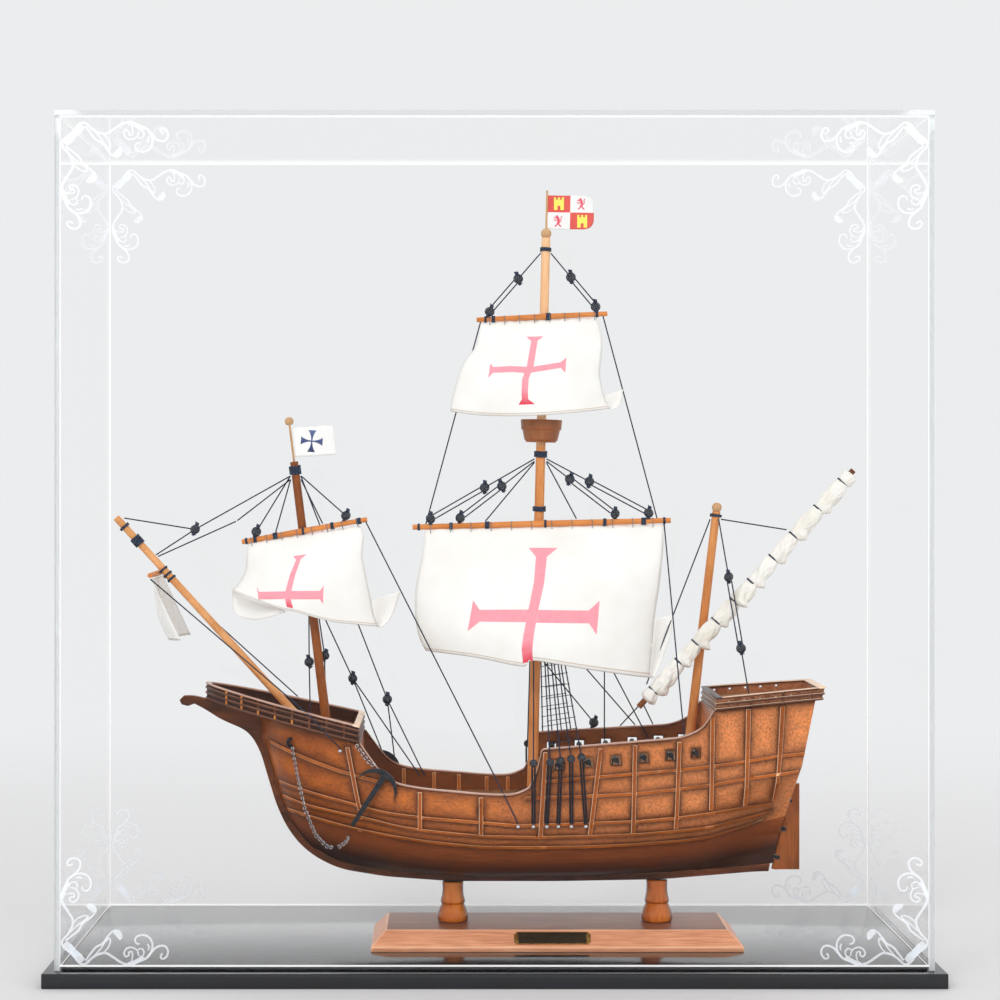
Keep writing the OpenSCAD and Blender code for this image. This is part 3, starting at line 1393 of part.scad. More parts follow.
hawse_ring_d = 9;
hawse_ring_t = 2;
module hawse_ring(side) {
    at = on_side(hawse_u, hull_z(hawse_z), side, 0);
    translate(at) rotate([side * -90, 0, side * -28]) translate([0, 0, -1])
        difference() {
            cylinder(d = hawse_ring_d, h = hawse_ring_t + 1, $fn = round_fn);
            translate([0, 0, -cut]) cylinder(d = 4, h = hawse_ring_t + 1 + 2 * cut, $fn = round_fn);
        }
}

module anchor_cables() {
    color("#2b2b2d") for (side = [-1, 1]) {
        chain([for (i = [0 : len(cable_course) - 1]) cable_point(i, side)]);
        chain([for (p = stopper_course) [p[0], ship_y + side * p[1], p[2]]]);
        hawse_ring(side);
    }
}

module panel_front() {
    long_panel(-1);
}

module panel_back() {
    long_panel(1);
}

module panel_left() {
    end_panel(-1);
}

module panel_right() {
    end_panel(1);
}

base_plate();
locating_plate();
panel_front();
panel_back();
panel_left();
panel_right();
panel_top();
stand_board();
name_plate();
name_plate_pins();
pillars();
hull_shell();
keel_and_stem();
waist_deck();
quarter_deck();
forecastle();
forecastle_deck();
poop();
poop_deck();
waist_rails();
forecastle_rail();
poop_rail();
castle_mouldings();
castle_posts();
wales();
ribs();
inner_frames();
cannons();
gudgeons();
rudder();
rudder_pins();
main_mast();
fore_mast();
mizzen_mast();
bowsprit();
crows_nest();
mast_trucks();
flag_staffs();
main_yard();
top_yard();
fore_yard();
sprit_yard();
lateen_yard();
main_sail();
top_sail();
fore_sail();
sprit_sail();
lateen_furled();
main_flag();
fore_flag();
lashings();
blocks();
deadeyes();
lanyards();
hull_nails();
shrouds();
ratlines();
running_rigging();
anchors();
anchor_cables();
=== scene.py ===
# %% [markdown]
# # A display case with a model carrack
# A clear acrylic cover stands on a black gloss base. Inside, a wooden sailing ship rests on two
# turned pillars over a bevelled mahogany board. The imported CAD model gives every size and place.
# This lesson dresses it: it keeps the CAD solids whose shape is right, and it makes finer pieces
# for cloth, thread, turned iron and worn wood.

import math
import random

import bmesh
import bpy
import numpy as np
from mathutils import Matrix, Vector, noise
from mathutils.bvhtree import BVHTree


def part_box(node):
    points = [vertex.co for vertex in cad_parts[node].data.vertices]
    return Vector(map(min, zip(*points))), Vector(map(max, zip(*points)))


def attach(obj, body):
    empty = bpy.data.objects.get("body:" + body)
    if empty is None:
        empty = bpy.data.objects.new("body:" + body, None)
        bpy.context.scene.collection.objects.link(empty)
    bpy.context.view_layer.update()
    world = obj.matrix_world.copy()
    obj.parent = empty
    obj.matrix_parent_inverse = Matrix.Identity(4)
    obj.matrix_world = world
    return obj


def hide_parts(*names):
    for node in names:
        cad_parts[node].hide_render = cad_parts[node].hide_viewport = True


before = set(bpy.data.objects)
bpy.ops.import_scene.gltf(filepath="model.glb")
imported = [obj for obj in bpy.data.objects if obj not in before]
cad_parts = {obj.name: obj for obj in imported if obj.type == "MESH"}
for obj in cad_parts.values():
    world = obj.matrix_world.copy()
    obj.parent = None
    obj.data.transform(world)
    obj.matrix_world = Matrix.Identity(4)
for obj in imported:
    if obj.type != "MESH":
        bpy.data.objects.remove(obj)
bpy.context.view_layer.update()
MM = 0.001
scene = bpy.context.scene

# %% [markdown]
# ## Camera
# The camera looks level along +Y from two metres away with a long lens, a little left of the
# middle of the case. A small shift frames the case without tilting the upright edges.

# %% Place the camera
camera = bpy.data.objects.new("camera", bpy.data.cameras.new("camera"))
scene.collection.objects.link(camera)
camera.location = (-0.0354, -2.124, 0.3973)
camera.rotation_euler = (math.pi / 2, 0, 0)
camera.data.sensor_width = 36
camera.data.lens = 89.442
camera.data.shift_x = 0.05
camera.data.shift_y = -0.013
camera.data.clip_start = 0.05
camera.data.clip_end = 60
scene.camera = camera
scene.view_settings.view_transform = "Standard"

# %% [markdown]
# ## One helper for nodes
# Every material and every Geometry Nodes tree is built from the same small function. It adds one
# node, sets its options, and either links each input or gives it a value. The functions after it
# add the few kinds of node that most materials need.


# %% Colours and nodes
def linear(hex_colour):
    """An sRGB hex colour as the linear colour that a shader takes."""
    parts = [int(hex_colour[i : i + 2], 16) / 255 for i in (1, 3, 5)]
    return (*[v / 12.92 if v <= 0.04045 else ((v + 0.055) / 1.055) ** 2.4 for v in parts], 1)


def add(tree, kind, inputs=None, **options):
    """Add one node to a tree. An input takes a link from an output socket, or else a value."""
    made = tree.nodes.new(kind)
    for name, value in options.items():
        setattr(made, name, value)
    for key, value in (inputs or {}).items():
        if isinstance(value, bpy.types.NodeSocket):
            tree.links.new(value, made.inputs[key])
        else:
            made.inputs[key].default_value = value
    return made


def ranged(tree, value, *ends, **options):
    """A value carried from one range to another: from low, from high, to low, to high."""
    return add(tree, "ShaderNodeMapRange", dict(enumerate((value, *ends))), **options).outputs[0]


def sums(tree, operation, *values, **options):
    """One step of arithmetic on values and links."""
    return add(tree, "ShaderNodeMath", dict(enumerate(values)), operation=operation, **options).outputs[0]


def blend(tree, share, first, second, how="MIX"):
    """Two colours mixed. Each is a hex tone or a link."""
    first, second = (linear(c) if isinstance(c, str) else c for c in (first, second))
    inputs = {0: share, 6: first, 7: second}
    return add(tree, "ShaderNodeMix", inputs, data_type="RGBA", blend_type=how).outputs[2]


def clouds_of(tree, place, scale, detail, stretch=None):
    """The value of a noise, on a place that may be stretched along its axes first."""
    if stretch:
        place = add(tree, "ShaderNodeMapping", {"Vector": place, "Scale": stretch}).outputs[0]
    return add(tree, "ShaderNodeTexNoise", {"Vector": place, "Scale": scale, "Detail": detail}).outputs[0]


def alike(tree, first, second):
    """How far two directions agree: 1 where they are the same."""
    inputs = {0: first, 1: second}
    return add(tree, "ShaderNodeVectorMath", inputs, operation="DOT_PRODUCT").outputs["Value"]


def attribute(tree, name):
    """The value that a piece stores on its points under a name."""
    return add(tree, "ShaderNodeAttribute", attribute_name=name).outputs["Fac"]


def seen_by(tree, *rays):
    """1 for rays of the named kinds and 0 for all others."""
    paths = add(tree, "ShaderNodeLightPath").outputs
    share = paths[f"Is {rays[0]} Ray"]
    for ray in rays[1:]:
        share = sums(tree, "MAXIMUM", share, paths[f"Is {ray} Ray"])
    return share


def blank_material(name):
    """A new material with a Principled shader: the material, its tree, the shader, the place."""
    made = bpy.data.materials.new(name)
    made.use_nodes = True
    tree = made.node_tree
    place = add(tree, "ShaderNodeTexCoord").outputs["Object"]
    return made, tree, tree.nodes["Principled BSDF"], place


def two_shaders(tree, share, first, second):
    """Mix two shaders, and make the mix the material's surface."""
    mixed = add(tree, "ShaderNodeMixShader", {0: share, 1: first.outputs[0], 2: second.outputs[0]})
    tree.links.new(mixed.outputs[0], tree.nodes["Material Output"].inputs["Surface"])


def settle(tree, shader, tone=None, dents=None, **values):
    """Link a tone and some dents to the shader, and set plain numbers on its other sockets.

    Dents are a height with its strength and its depth in metres."""
    if tone is not None:
        tree.links.new(tone, shader.inputs["Base Color"])
    if dents:
        bump = add(tree, "ShaderNodeBump", dict(zip(("Height", "Strength", "Distance"), dents)))
        tree.links.new(bump.outputs[0], shader.inputs["Normal"])
    for name, value in values.items():
        shader.inputs[name.replace("_", " ")].default_value = value


# %% [markdown]
# ## Studio
# Plain soft light comes from everywhere, and three broad lamps bring out the forms: a strong one
# high on the left, a weak one on the right and one behind. Rays that the camera, glossy surfaces
# and clear surfaces send out see a pale grey room and no lamp. The floor fades into that room.

# %% Light and floor
ROOM = linear("#ecedee")
VIEW_RAYS = ("Camera", "Glossy", "Transmission")
world = bpy.data.worlds.new("room")
scene.world = world
world.use_nodes = True
sky = world.node_tree
sky.nodes.clear()
glow = add(sky, "ShaderNodeBackground", {"Color": (1, 1, 1, 1), "Strength": 0.8})
wall = add(sky, "ShaderNodeBackground", {"Color": ROOM, "Strength": 1.0})
both = {0: seen_by(sky, *VIEW_RAYS), 1: glow.outputs[0], 2: wall.outputs[0]}
add(sky, "ShaderNodeOutputWorld", {0: add(sky, "ShaderNodeMixShader", both).outputs[0]})


def soft_lamp(name, place, aim, size, power):
    """A square area lamp that points at a place. Only matt surfaces see it."""
    data = bpy.data.lights.new(name, "AREA")
    data.size = size
    data.energy = power
    lamp = bpy.data.objects.new(name, data)
    lamp.location = place
    lamp.rotation_euler = (Vector(aim) - Vector(place)).to_track_quat("-Z", "Y").to_euler()
    lamp.visible_camera = lamp.visible_glossy = lamp.visible_transmission = False
    scene.collection.objects.link(lamp)


soft_lamp("key_lamp", (-1.1, -2.9, 1.9), (0, 0, 0.25), 0.9, 38)
soft_lamp("fill_lamp", (2.0, -1.6, 1.6), (0, 0, 0.3), 1.2, 9)
soft_lamp("back_lamp", (0.6, 2.4, 2.2), (0, 0, 0.3), 1.6, 16)

FLOOR_HALF = 200
HAZE_STARTS, HAZE_ENDS = 0.45, 2.2
floor_mesh = bpy.data.meshes.new("floor")
floor_corners = [(x * FLOOR_HALF, y * FLOOR_HALF, 0) for x, y in ((-1, -1), (1, -1), (1, 1), (-1, 1))]
floor_mesh.from_pydata(floor_corners, [], [(0, 1, 2, 3)])
floor = bpy.data.objects.new("floor", floor_mesh)
scene.collection.objects.link(floor)
floor_paint, tree, shader, place = blank_material("matt_floor_paint")
settle(tree, shader, Base_Color=linear("#dcdcdd"), Roughness=0.95)
distance = add(tree, "ShaderNodeVectorMath", {0: place}, operation="LENGTH").outputs["Value"]
far = ranged(tree, distance, HAZE_STARTS, HAZE_ENDS, interpolation_type="SMOOTHSTEP")
haze = add(tree, "ShaderNodeEmission", {"Color": ROOM, "Strength": 1.0})
two_shaders(tree, sums(tree, "MULTIPLY", seen_by(tree, *VIEW_RAYS), far), shader, haze)
floor_mesh.materials.append(floor_paint)

# %% [markdown]
# ## Wood
# The ship is made of a pale hardwood that has been stained and varnished. Grain runs as long thin
# streaks, about a millimetre wide, so the noise is squeezed across the grain and stretched along
# it. A second, larger noise gives the cloudy change of tone that stain leaves. Varnish is a thin
# clear coat over the stain. The shader finds an edge by comparing the surface with a rounded one,
# and makes it pale where handling has worn it. It is paler still where it faces the light and dark
# where it faces away: a painted highlight and painted shade.


# %% Stained and varnished wood
# The side the lamps light from: edges facing it take a painted highlight, the others painted shade.
LIGHT_SIDE = (-0.6, 0, 0.8)
CLOUD = 55


def wood(
    name, light, dark, along="X", grain=1.2, turn=0.0, rough=0.42, coat=0.12, cloudy=0.5, edges=None, rim_shade=None
):
    """Wood with grain along one axis. Grain is the width of a streak in mm, turn leans it about Y.

    Edges holds the tones of worn edges that face the light and of those that don't, and their
    radius in mm: the first tone is a painted highlight, the second painted shade. Rim shade is a
    painted shade where the surface is seen at a low angle, which darkens its outline."""
    made, tree, shader, place = blank_material(name)
    if turn:
        leaned = {"Vector": place, "Angle": math.radians(turn)}
        place = add(tree, "ShaderNodeVectorRotate", leaned, rotation_type="Y_AXIS").outputs[0]
    fine = 1 / (grain * MM)
    streaks = clouds_of(tree, place, 1.0, 5.0, tuple(fine * (0.05 if axis == along else 1) for axis in "XYZ"))
    clouds = clouds_of(tree, place, 1.0, 3.0, tuple(CLOUD * (0.35 if axis == along else 1) for axis in "XYZ"))
    both = {0: cloudy, 2: ranged(tree, streaks, 0.32, 0.68), 3: ranged(tree, clouds, 0.35, 0.65)}
    tone = blend(tree, add(tree, "ShaderNodeMix", both).outputs[0], dark, light)
    # Worn edges, with a painted highlight where they face the light and painted shade where they face away.
    if edges:
        facing_light, facing_away, radius = edges
        rounded = add(tree, "ShaderNodeBevel", {"Radius": radius * MM}, samples=6).outputs[0]
        flat = add(tree, "ShaderNodeNewGeometry").outputs["Normal"]
        bend, lit = (alike(tree, rounded, other) for other in (flat, LIGHT_SIDE))
        worn_and_lit = blend(tree, ranged(tree, lit, -0.25, 0.25), facing_away, facing_light)
        tone = blend(tree, ranged(tree, bend, 0.985, 0.87, 0.0, 0.9), tone, worn_and_lit)
    # Painted shade on the outline, where the surface is seen at a low angle.
    if rim_shade:
        low_angle = add(tree, "ShaderNodeLayerWeight", {"Blend": 0.45}).outputs["Facing"]
        tone = blend(tree, ranged(tree, low_angle, 0.15, 0.75, 0.0, 0.9), tone, rim_shade)
    settle(
        tree, shader, tone, (streaks, 0.25, 0.0003),
        Roughness=rough, Specular_IOR_Level=0.2, Coat_Weight=coat, Coat_Roughness=0.12,
    )
    return made


def deck_wood(name, light, dark, seam):
    """Planks along the ship, 5 mm wide, with a dark seam of caulking between them."""
    made, tree, shader, place = blank_material(name)
    tiles = {
        "Vector": place, "Color1": linear(light), "Color2": linear(dark), "Mortar": linear(seam),
        "Scale": 1.0, "Mortar Size": 0.35 * MM, "Brick Width": 60 * MM, "Row Height": 5 * MM,
    }
    planks = add(tree, "ShaderNodeTexBrick", tiles).outputs[0]
    streak = ranged(tree, clouds_of(tree, place, 1.0, 4.0, (60, 1200, 1200)), 0.3, 0.7, 0.55, 1.0)
    tone = blend(tree, 1.0, planks, streak, "MULTIPLY")
    settle(tree, shader, tone, Roughness=0.5, Specular_IOR_Level=0.2, Coat_Weight=0.1, Coat_Roughness=0.2)
    return made


# In each edges tuple below, the first tone is a painted highlight on edges that face the light and the second
# is painted shade on edges that face away.
hull_trim = wood(
    "varnished_trim_wood", "#c4661c", "#7a3806", along="X", grain=0.8, edges=("#ffcf9c", "#240c04", 0.9),
)
rib_trim = wood(
    "varnished_rib_wood", "#b45c1a", "#743406", along="Z", grain=0.8, edges=("#ffe2bc", "#f09850", 1.15),
)
# Pale worn edges with a painted highlight, for the rounded edges of the trim.
worn_lit_edge = wood("worn_wood_edge_painted_highlight", "#ffd2a4", "#ee9c54", along="X", rough=0.35, coat=0.3)
keel_wood = wood("dark_stained_keel_wood", "#7a3e16", "#2e1204", along="X")
rudder_wood = wood("stained_rudder_wood", "#b8662c", "#5e2c0e", along="Z")
# Painted shade for rounded edges that face down.
painted_underside_shade = wood("painted_shade_under_edges", "#3a1a0c", "#180904", along="X", grain=1.0, coat=0.0)
castle_wood = wood(
    "dark_stained_bulwark_wood", "#80503a", "#3a1c10", along="X", grain=0.9,
    edges=("#b0806a", "#100603", 0.7),
)
moulding_lit_edge = wood("moulding_edge_worn_and_lit", "#a8745c", "#5c3422", along="X", grain=0.9, coat=0.3)
cream_lit_edge = wood("cream_edge_worn_and_lit", "#ffe6c8", "#e6b890", along="X", grain=0.9, coat=0.3)
# Posts: a shaded copy and a lit copy of one wood, painted shade and painted light.
post_wood = wood(
    "post_wood_in_painted_shade", "#8a5234", "#42200e", along="Z", grain=0.7, edges=("#7a4a30", "#3a1c0e", 0.6),
)
post_edge = wood("post_edge_in_painted_shade", "#7a4a30", "#3a1c0e", along="Z", grain=0.7)
lit_post = wood("post_wood_painted_lit", "#f0a040", "#b06420", along="Z", grain=0.7)
# Painted shade for the poop's front cross rail.
front_wood = wood("bulwark_end_in_shade", "#6a5a58", "#3a302e", along="Z", grain=1.0)
rail_wood = wood(
    "varnished_rail_wood", "#caa08c", "#94604a", along="X", grain=0.9, rough=0.25, coat=0.4,
    edges=("#f2cdb4", "#7a4630", 0.8),
)
frame_wood = wood("varnished_frame_wood", "#d07c34", "#7a3c14", along="Z", grain=0.8)
pole_dark = wood("stained_pole_wood", "#a85e26", "#6e3610", along="Z", grain=0.8)
pole_light = wood("oiled_pole_wood", "#e8a062", "#c07030", along="Z", grain=0.8)
# Painted light: the main mast is paler above its crow's nest.
lit_topmast_wood = wood("topmast_wood_painted_lit", "#fcd2a6", "#e6a870", along="Z", grain=0.8)
sprit_wood = wood("oiled_bowsprit_wood", "#f2b47a", "#cc8648", along="X", grain=0.8, turn=47.6)
yard_wood = wood("oiled_yard_wood", "#ea9854", "#bc6a28", along="X", grain=0.7)
lateen_wood = wood("stained_lateen_yard_wood", "#8f5630", "#5a2f18", along="X", grain=0.7, turn=-47.8)
nest_wood = wood("stained_nest_wood", "#a8683f", "#6b3b22", along="Z", grain=0.8)
ball_wood = wood("turned_ball_wood", "#d9b184", "#a9743f", along="Z", grain=0.6, coat=0.3)
# The bevel is a lit copy of the board's mahogany: painted light. Its edges are worn pale with a painted
# highlight.
lit_stand_bevel = wood("mahogany_bevel_painted_lit", "#f6b088", "#c8805c", along="X", grain=1.3, rough=0.38, cloudy=0.25)
stand_top = wood("mahogany", "#a86e52", "#6a3a28", along="X", grain=1.3, rough=0.38, cloudy=0.25)
stand_lit_edge = wood("mahogany_edge_worn_and_lit", "#ffcca8", "#e8a880", along="X", grain=0.9)
# The pillars take painted shade on their outline.
pillar_wood = wood(
    "turned_beech_stained", "#ee8a2c", "#a84808", along="Z", grain=1.0, rough=0.22, coat=0.6, rim_shade="#4a1a04",
)
deck_planks = deck_wood("scrubbed_deck_planks", "#b98354", "#a06c40", "#4c2b18")
print("Woods made:", len(bpy.data.materials))

# %% [markdown]
# ## Metal, thread, cloth and lacquer
# The base is black acrylic with a mirror gloss, so at a low angle it shows the pale room. Iron
# parts are chemically blackened. Rigging is waxed dark blue-black thread, and the nails are bright
# steel. The cover is cast acrylic, 4 mm thick: its faces are clear, and its sawn edges catch light.


# %% Metals and lacquer
def plain_finish(name, light, dark, size, dent=0.12, **values):
    """A finish whose colour drifts between two tones over patches of a given size in mm."""
    made, tree, shader, place = blank_material(name)
    patches = clouds_of(tree, place, 1 / (size * MM), 3.0)
    tone = blend(tree, ranged(tree, patches, 0.35, 0.65), dark, light)
    settle(tree, shader, tone, (patches, dent, 0.0002), **values)
    return made


base_gloss = plain_finish(
    "black_gloss_acrylic", "#0c1018", "#080a10", 30, 0.0,
    Roughness=0.1, IOR=1.49, Coat_Weight=0.4, Coat_Roughness=0.06,
)
locator_gloss = plain_finish(
    "black_polished_plate", "#1c1e22", "#141518", 30, 0.0,
    Roughness=0.2, IOR=1.49, Coat_Weight=0.8, Coat_Roughness=0.12,
)
iron = plain_finish("blackened_iron", "#2c3037", "#15171b", 2.5, Roughness=0.42, Metallic=0.35)
# Painted glint: every other chain link takes this near-white metal.
chain_glint_iron = plain_finish("iron_chain_painted_glint", "#ffffff", "#bcbec4", 1.3, Roughness=0.3, Metallic=0.5)
steel = plain_finish("bright_steel", "#f2f2f2", "#c9cacc", 1.0, Roughness=0.16, Metallic=1.0)
brass = plain_finish("aged_brass", "#d9b566", "#a67c33", 2.0, Roughness=0.25, Metallic=1.0)
patina = plain_finish("dark_brass_patina", "#4a3920", "#2a2013", 3.0, Roughness=0.32, Metallic=0.6)
block_lacquer = plain_finish("blue_black_lacquer", "#262e3b", "#0d1118", 2.0, Roughness=0.35, Coat_Weight=0.4)

# %% [markdown]
# Thread shows as thin twisted strands. At this scale the twist is finer than a pixel, so it is
# drawn about 1 mm long, as a wave that leans across the thread.


# %% Thread
def thread(name, light, dark, twist=1.0):
    """Waxed thread. Twist is the length of one turn of a strand in mm."""
    made, tree, shader, place = blank_material(name)
    wave = {"Vector": place, "Scale": 0.3 / (twist * MM), "Distortion": 1.5, "Detail": 1.0}
    wave = add(tree, "ShaderNodeTexWave", wave, bands_direction="DIAGONAL").outputs["Fac"]
    tone = blend(tree, wave, dark, light)
    settle(tree, shader, tone, (wave, 0.4, 0.0002), Roughness=0.6, Specular_IOR_Level=0.3)
    return made


rigging_thread = thread("waxed_rigging_thread", "#333e55", "#0e121c")
lashing_thread = thread("waxed_lashing_thread", "#3d4c66", "#121a28", 0.8)
lanyard_thread = thread("tarred_lanyard_thread", "#1c2432", "#0a0d13", 1.2)
lacing_thread = thread("grey_lacing_thread", "#8b9199", "#5d636c", 0.8)

# %% [markdown]
# ## Clear acrylic
# The faces are a plain clear shader. Light from lamps and from bounced rays passes straight
# through, because otherwise the renderer would leave the ship in the dark. The sawn edges and the
# frosted print scatter light, so they are a pale, half clear white. The bright lines at the joints
# are a painted highlight, and they and the print also glow a little: painted light.


# %% Clear and frosted acrylic
def part_clear(name, share, **values):
    """A white surface that lets a share of the light straight through."""
    made, tree, shader, place = blank_material(name)
    if share is None:
        share = ranged(tree, clouds_of(tree, place, 1500.0, 2.0), 0.3, 0.7, 0.3, 0.6)
    settle(tree, shader, **values)
    two_shaders(tree, share, shader, add(tree, "ShaderNodeBsdfTransparent"))
    return made


WHITE = (1, 1, 1, 1)
acrylic, tree, shader, place = blank_material("cast_clear_acrylic")
settle(tree, shader, Base_Color=WHITE, Roughness=0.0, IOR=1.18, Transmission_Weight=1.0)
two_shaders(tree, seen_by(tree, "Shadow", "Diffuse"), shader, add(tree, "ShaderNodeBsdfTransparent"))
acrylic_edge = part_clear("sawn_acrylic_edge", 0.3, Base_Color=linear("#f6fafb"), Roughness=0.35, IOR=1.49)
# Painted highlight along the joints, with a little glow: painted light.
seam_highlight = part_clear(
    "seam_painted_highlight", 0.5, Base_Color=WHITE, Roughness=0.4, Emission_Color=WHITE, Emission_Strength=0.3
)
# The print glows a little: painted light.
frosting = part_clear(
    "frosted_white_print_painted_glow", None, Base_Color=linear("#f2f6fb"), Roughness=0.7,
    Emission_Color=linear("#eef4fb"),
    Emission_Strength=0.16,
)

# %% [markdown]
# ## Sailcloth
# The sails are fine bleached cotton. Threads lie about 0.3 mm apart, too fine to show, so the
# weave is drawn at 0.9 mm. The cloth has its own UV map with the hem along its foot, where a line
# of brown shows the stitching.


# %% Cloth materials
def cotton(name, light, dark, hem=None, weave=0.9, size=(200, 120)):
    """Woven cotton on the piece's own UV map. Size is the sheet's width and height in mm."""
    made, tree, shader, place = blank_material(name)
    laid = add(tree, "ShaderNodeUVMap", uv_map="cloth").outputs[0]
    counts = {"Vector": laid, "Scale": (size[0] / weave, size[1] / weave, 1)}
    scaled = {"Vector": add(tree, "ShaderNodeMapping", counts).outputs[0], "Scale": 0.31, "Distortion": 0.6}
    warp, weft = (add(tree, "ShaderNodeTexWave", scaled, bands_direction=way).outputs["Fac"] for way in "XY")
    soil = ranged(tree, clouds_of(tree, place, 28.0, 4.0), 0.4, 0.75)
    tone = blend(tree, soil, light, dark)
    if hem:
        down = add(tree, "ShaderNodeSeparateXYZ", {0: laid}).outputs[1]
        stitch = 1.6 / size[1]
        seam = sums(tree, "COMPARE", down, 2.2 * stitch, 0.35 * stitch)
        line = sums(tree, "MAXIMUM", seam, sums(tree, "LESS_THAN", down, 0.35 * stitch))
        tone = blend(tree, sums(tree, "MULTIPLY", line, 0.65), tone, hem)
    weaves = (sums(tree, "MULTIPLY", warp, weft), 0.35, 0.0003)
    settle(tree, shader, tone, weaves, Roughness=0.85, Sheen_Weight=0.15, Subsurface_Weight=0.05)
    return made


def paint(name, strong, face_tone):
    """Paint soaked into cloth. The piece's own attribute says how deep it is: painted shade towards the foot.
    """
    made, tree, shader, place = blank_material(name)
    drift = ranged(tree, clouds_of(tree, place, 260.0, 4.0), 0.3, 0.7, -0.12, 0.12)
    share = sums(tree, "ADD", attribute(tree, "foot_shade"), drift, use_clamp=True)
    settle(tree, shader, blend(tree, share, face_tone, strong), Roughness=0.8, Sheen_Weight=0.1)
    return made


main_cloth = cotton("bleached_sail_cotton", "#faf9f5", "#f3f0e9", hem="#b89a78", size=(215, 130))
furl_cloth = cotton("furled_sail_cotton", "#f6f3ec", "#e9e3d6", size=(255, 60))
flag_white = cotton("white_flag_cotton", "#f8f8f6", "#efefed", size=(40, 28), weave=0.7)
flag_red = cotton("red_flag_cotton", "#e8534c", "#d9403c", size=(40, 28), weave=0.7)
# Each paint: its deep tone where the painted shade is full, then its plain face tone.
cross_red = paint("soaked_red_paint", "#e2324a", "#fb9fac")
tower_yellow = paint("yellow_flag_paint", "#f2dc3a", "#f7ee6a")
beast_red = paint("red_flag_paint", "#e8506a", "#f48a9c")
flag_navy = paint("navy_flag_paint", "#2c3558", "#5f6ea0")
print("Materials made:", len(bpy.data.materials))


# %% [markdown]
# ## Making and placing pieces
# A finished piece keeps its object at the origin and its place in its mesh, as the CAD nodes do.
# A few helpers make a mesh, copy a CAD node with its loose triangles merged, and seat a piece on
# the body that it moves with. Lengths are in mm until a mesh is made.


# %% Helpers for pieces
def new_piece(name, points, faces, materials, picks=None, smooth=True):
    """A mesh piece from points in metres. Picks gives each face its material's number."""
    mesh = bpy.data.meshes.new(name)
    mesh.from_pydata([tuple(p) for p in points], [], faces)
    for material in materials:
        mesh.materials.append(material)
    if picks is not None:
        mesh.polygons.foreach_set("material_index", picks)
    mesh.polygons.foreach_set("use_smooth", [smooth] * len(mesh.polygons))
    mesh.update()
    piece = bpy.data.objects.new(name, mesh)
    scene.collection.objects.link(piece)
    return piece


def gathered(shapes, scale=1.0):
    """Several shapes, each of points and faces, as one, with the points scaled."""
    points, faces = [], []
    for more, patches in shapes:
        shift = len(points)
        points += [Vector(p) * scale for p in more]
        faces += [tuple(k + shift for k in face) for face in patches]
    return points, faces


def box_of(node):
    """The two far corners of a CAD node in mm."""
    return [Vector(v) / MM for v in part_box(node)]


WELD = 2e-6


def merged(node):
    """A CAD node's mesh as a bmesh with its triangles joined up."""
    bm = bmesh.new()
    bm.from_mesh(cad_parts[node].data)
    bmesh.ops.remove_doubles(bm, verts=bm.verts, dist=WELD)
    return bm


def piece_of(bm, name, *materials):
    """A piece from a bmesh, with the first of its materials all over."""
    mesh = bpy.data.meshes.new(name)
    bm.to_mesh(mesh)
    bm.free()
    for material in materials:
        mesh.materials.append(material)
    mesh.polygons.foreach_set("material_index", [0] * len(mesh.polygons))
    piece = bpy.data.objects.new(name, mesh)
    scene.collection.objects.link(piece)
    return piece


def reworked(piece, work):
    """Let a function change a piece's mesh as a bmesh."""
    bm = bmesh.new()
    bm.from_mesh(piece.data)
    work(bm)
    bm.to_mesh(piece.data)
    bm.free()


def smoothed(piece, angle):
    """Shade a piece smooth up to an angle in degrees."""
    piece.data.shade_smooth()
    piece.data.set_sharp_from_angle(angle=math.radians(angle))


def outward(bm):
    """Turn every face of a bmesh outward."""
    bmesh.ops.recalc_face_normals(bm, faces=bm.faces)


CREASE = 0.5
CORNER = 0.6


def eased(bm, longest, rounds):
    """Cut a bmesh until no edge is longer than a length in mm, and ease its facets into curves."""
    for _ in range(8):
        long_edges = [e for e in bm.edges if e.calc_length() > longest * MM]
        if not long_edges:
            break
        bmesh.ops.subdivide_edges(bm, edges=long_edges, cuts=1)
        bmesh.ops.triangulate(bm, faces=[f for f in bm.faces if len(f.verts) > 3])
    pulls = []
    for vert in bm.verts:
        sharp = [e for e in vert.link_edges if e.calc_face_angle(3) > CREASE]
        if len(sharp) == 2:
            first, second = (e.other_vert(vert) for e in sharp)
            bend = (first.co - vert.co).angle(vert.co - second.co, 3)
            if bend < CORNER:
                pulls.append((vert, (first, second)))
        elif not sharp:
            pulls.append((vert, tuple(e.other_vert(vert) for e in vert.link_edges)))
    for _ in range(rounds):
        moved = [(v, v.co.lerp(sum((o.co for o in near), Vector()) / len(near), 0.5)) for v, near in pulls]
        for vert, place in moved:
            vert.co = place


TRIM_EDGE = 4
UNDERSIDE = -0.2


def rounded_copy(node, width, face_material, edge_material, under=None, segments=2, angle=35, fair=0):
    """A copy of a CAD node with its sharp edges rounded and in their own finish; under is painted shade for
    edges facing down.
    """
    bm = merged(node)
    if fair:
        eased(bm, TRIM_EDGE, fair)
    else:
        bmesh.ops.dissolve_limit(bm, angle_limit=math.radians(1.5), verts=bm.verts, edges=bm.edges)
    piece = piece_of(bm, node + "_dressed", face_material, edge_material, under or edge_material)
    bevel = piece.modifiers.new("rounding", "BEVEL")
    bevel.width = width * MM
    bevel.segments = segments
    bevel.limit_method = "ANGLE"
    bevel.angle_limit = math.radians(angle)
    bevel.material = 1
    bevel.use_clamp_overlap = True
    plain_mesh(piece)
    # Rounded edges that face down take the painted shade.
    if under:
        for face in piece.data.polygons:
            if face.material_index == 1 and face.normal.z < UNDERSIDE:
                face.material_index = 2
    smoothed(piece, 40)
    return stand_in(piece, node)


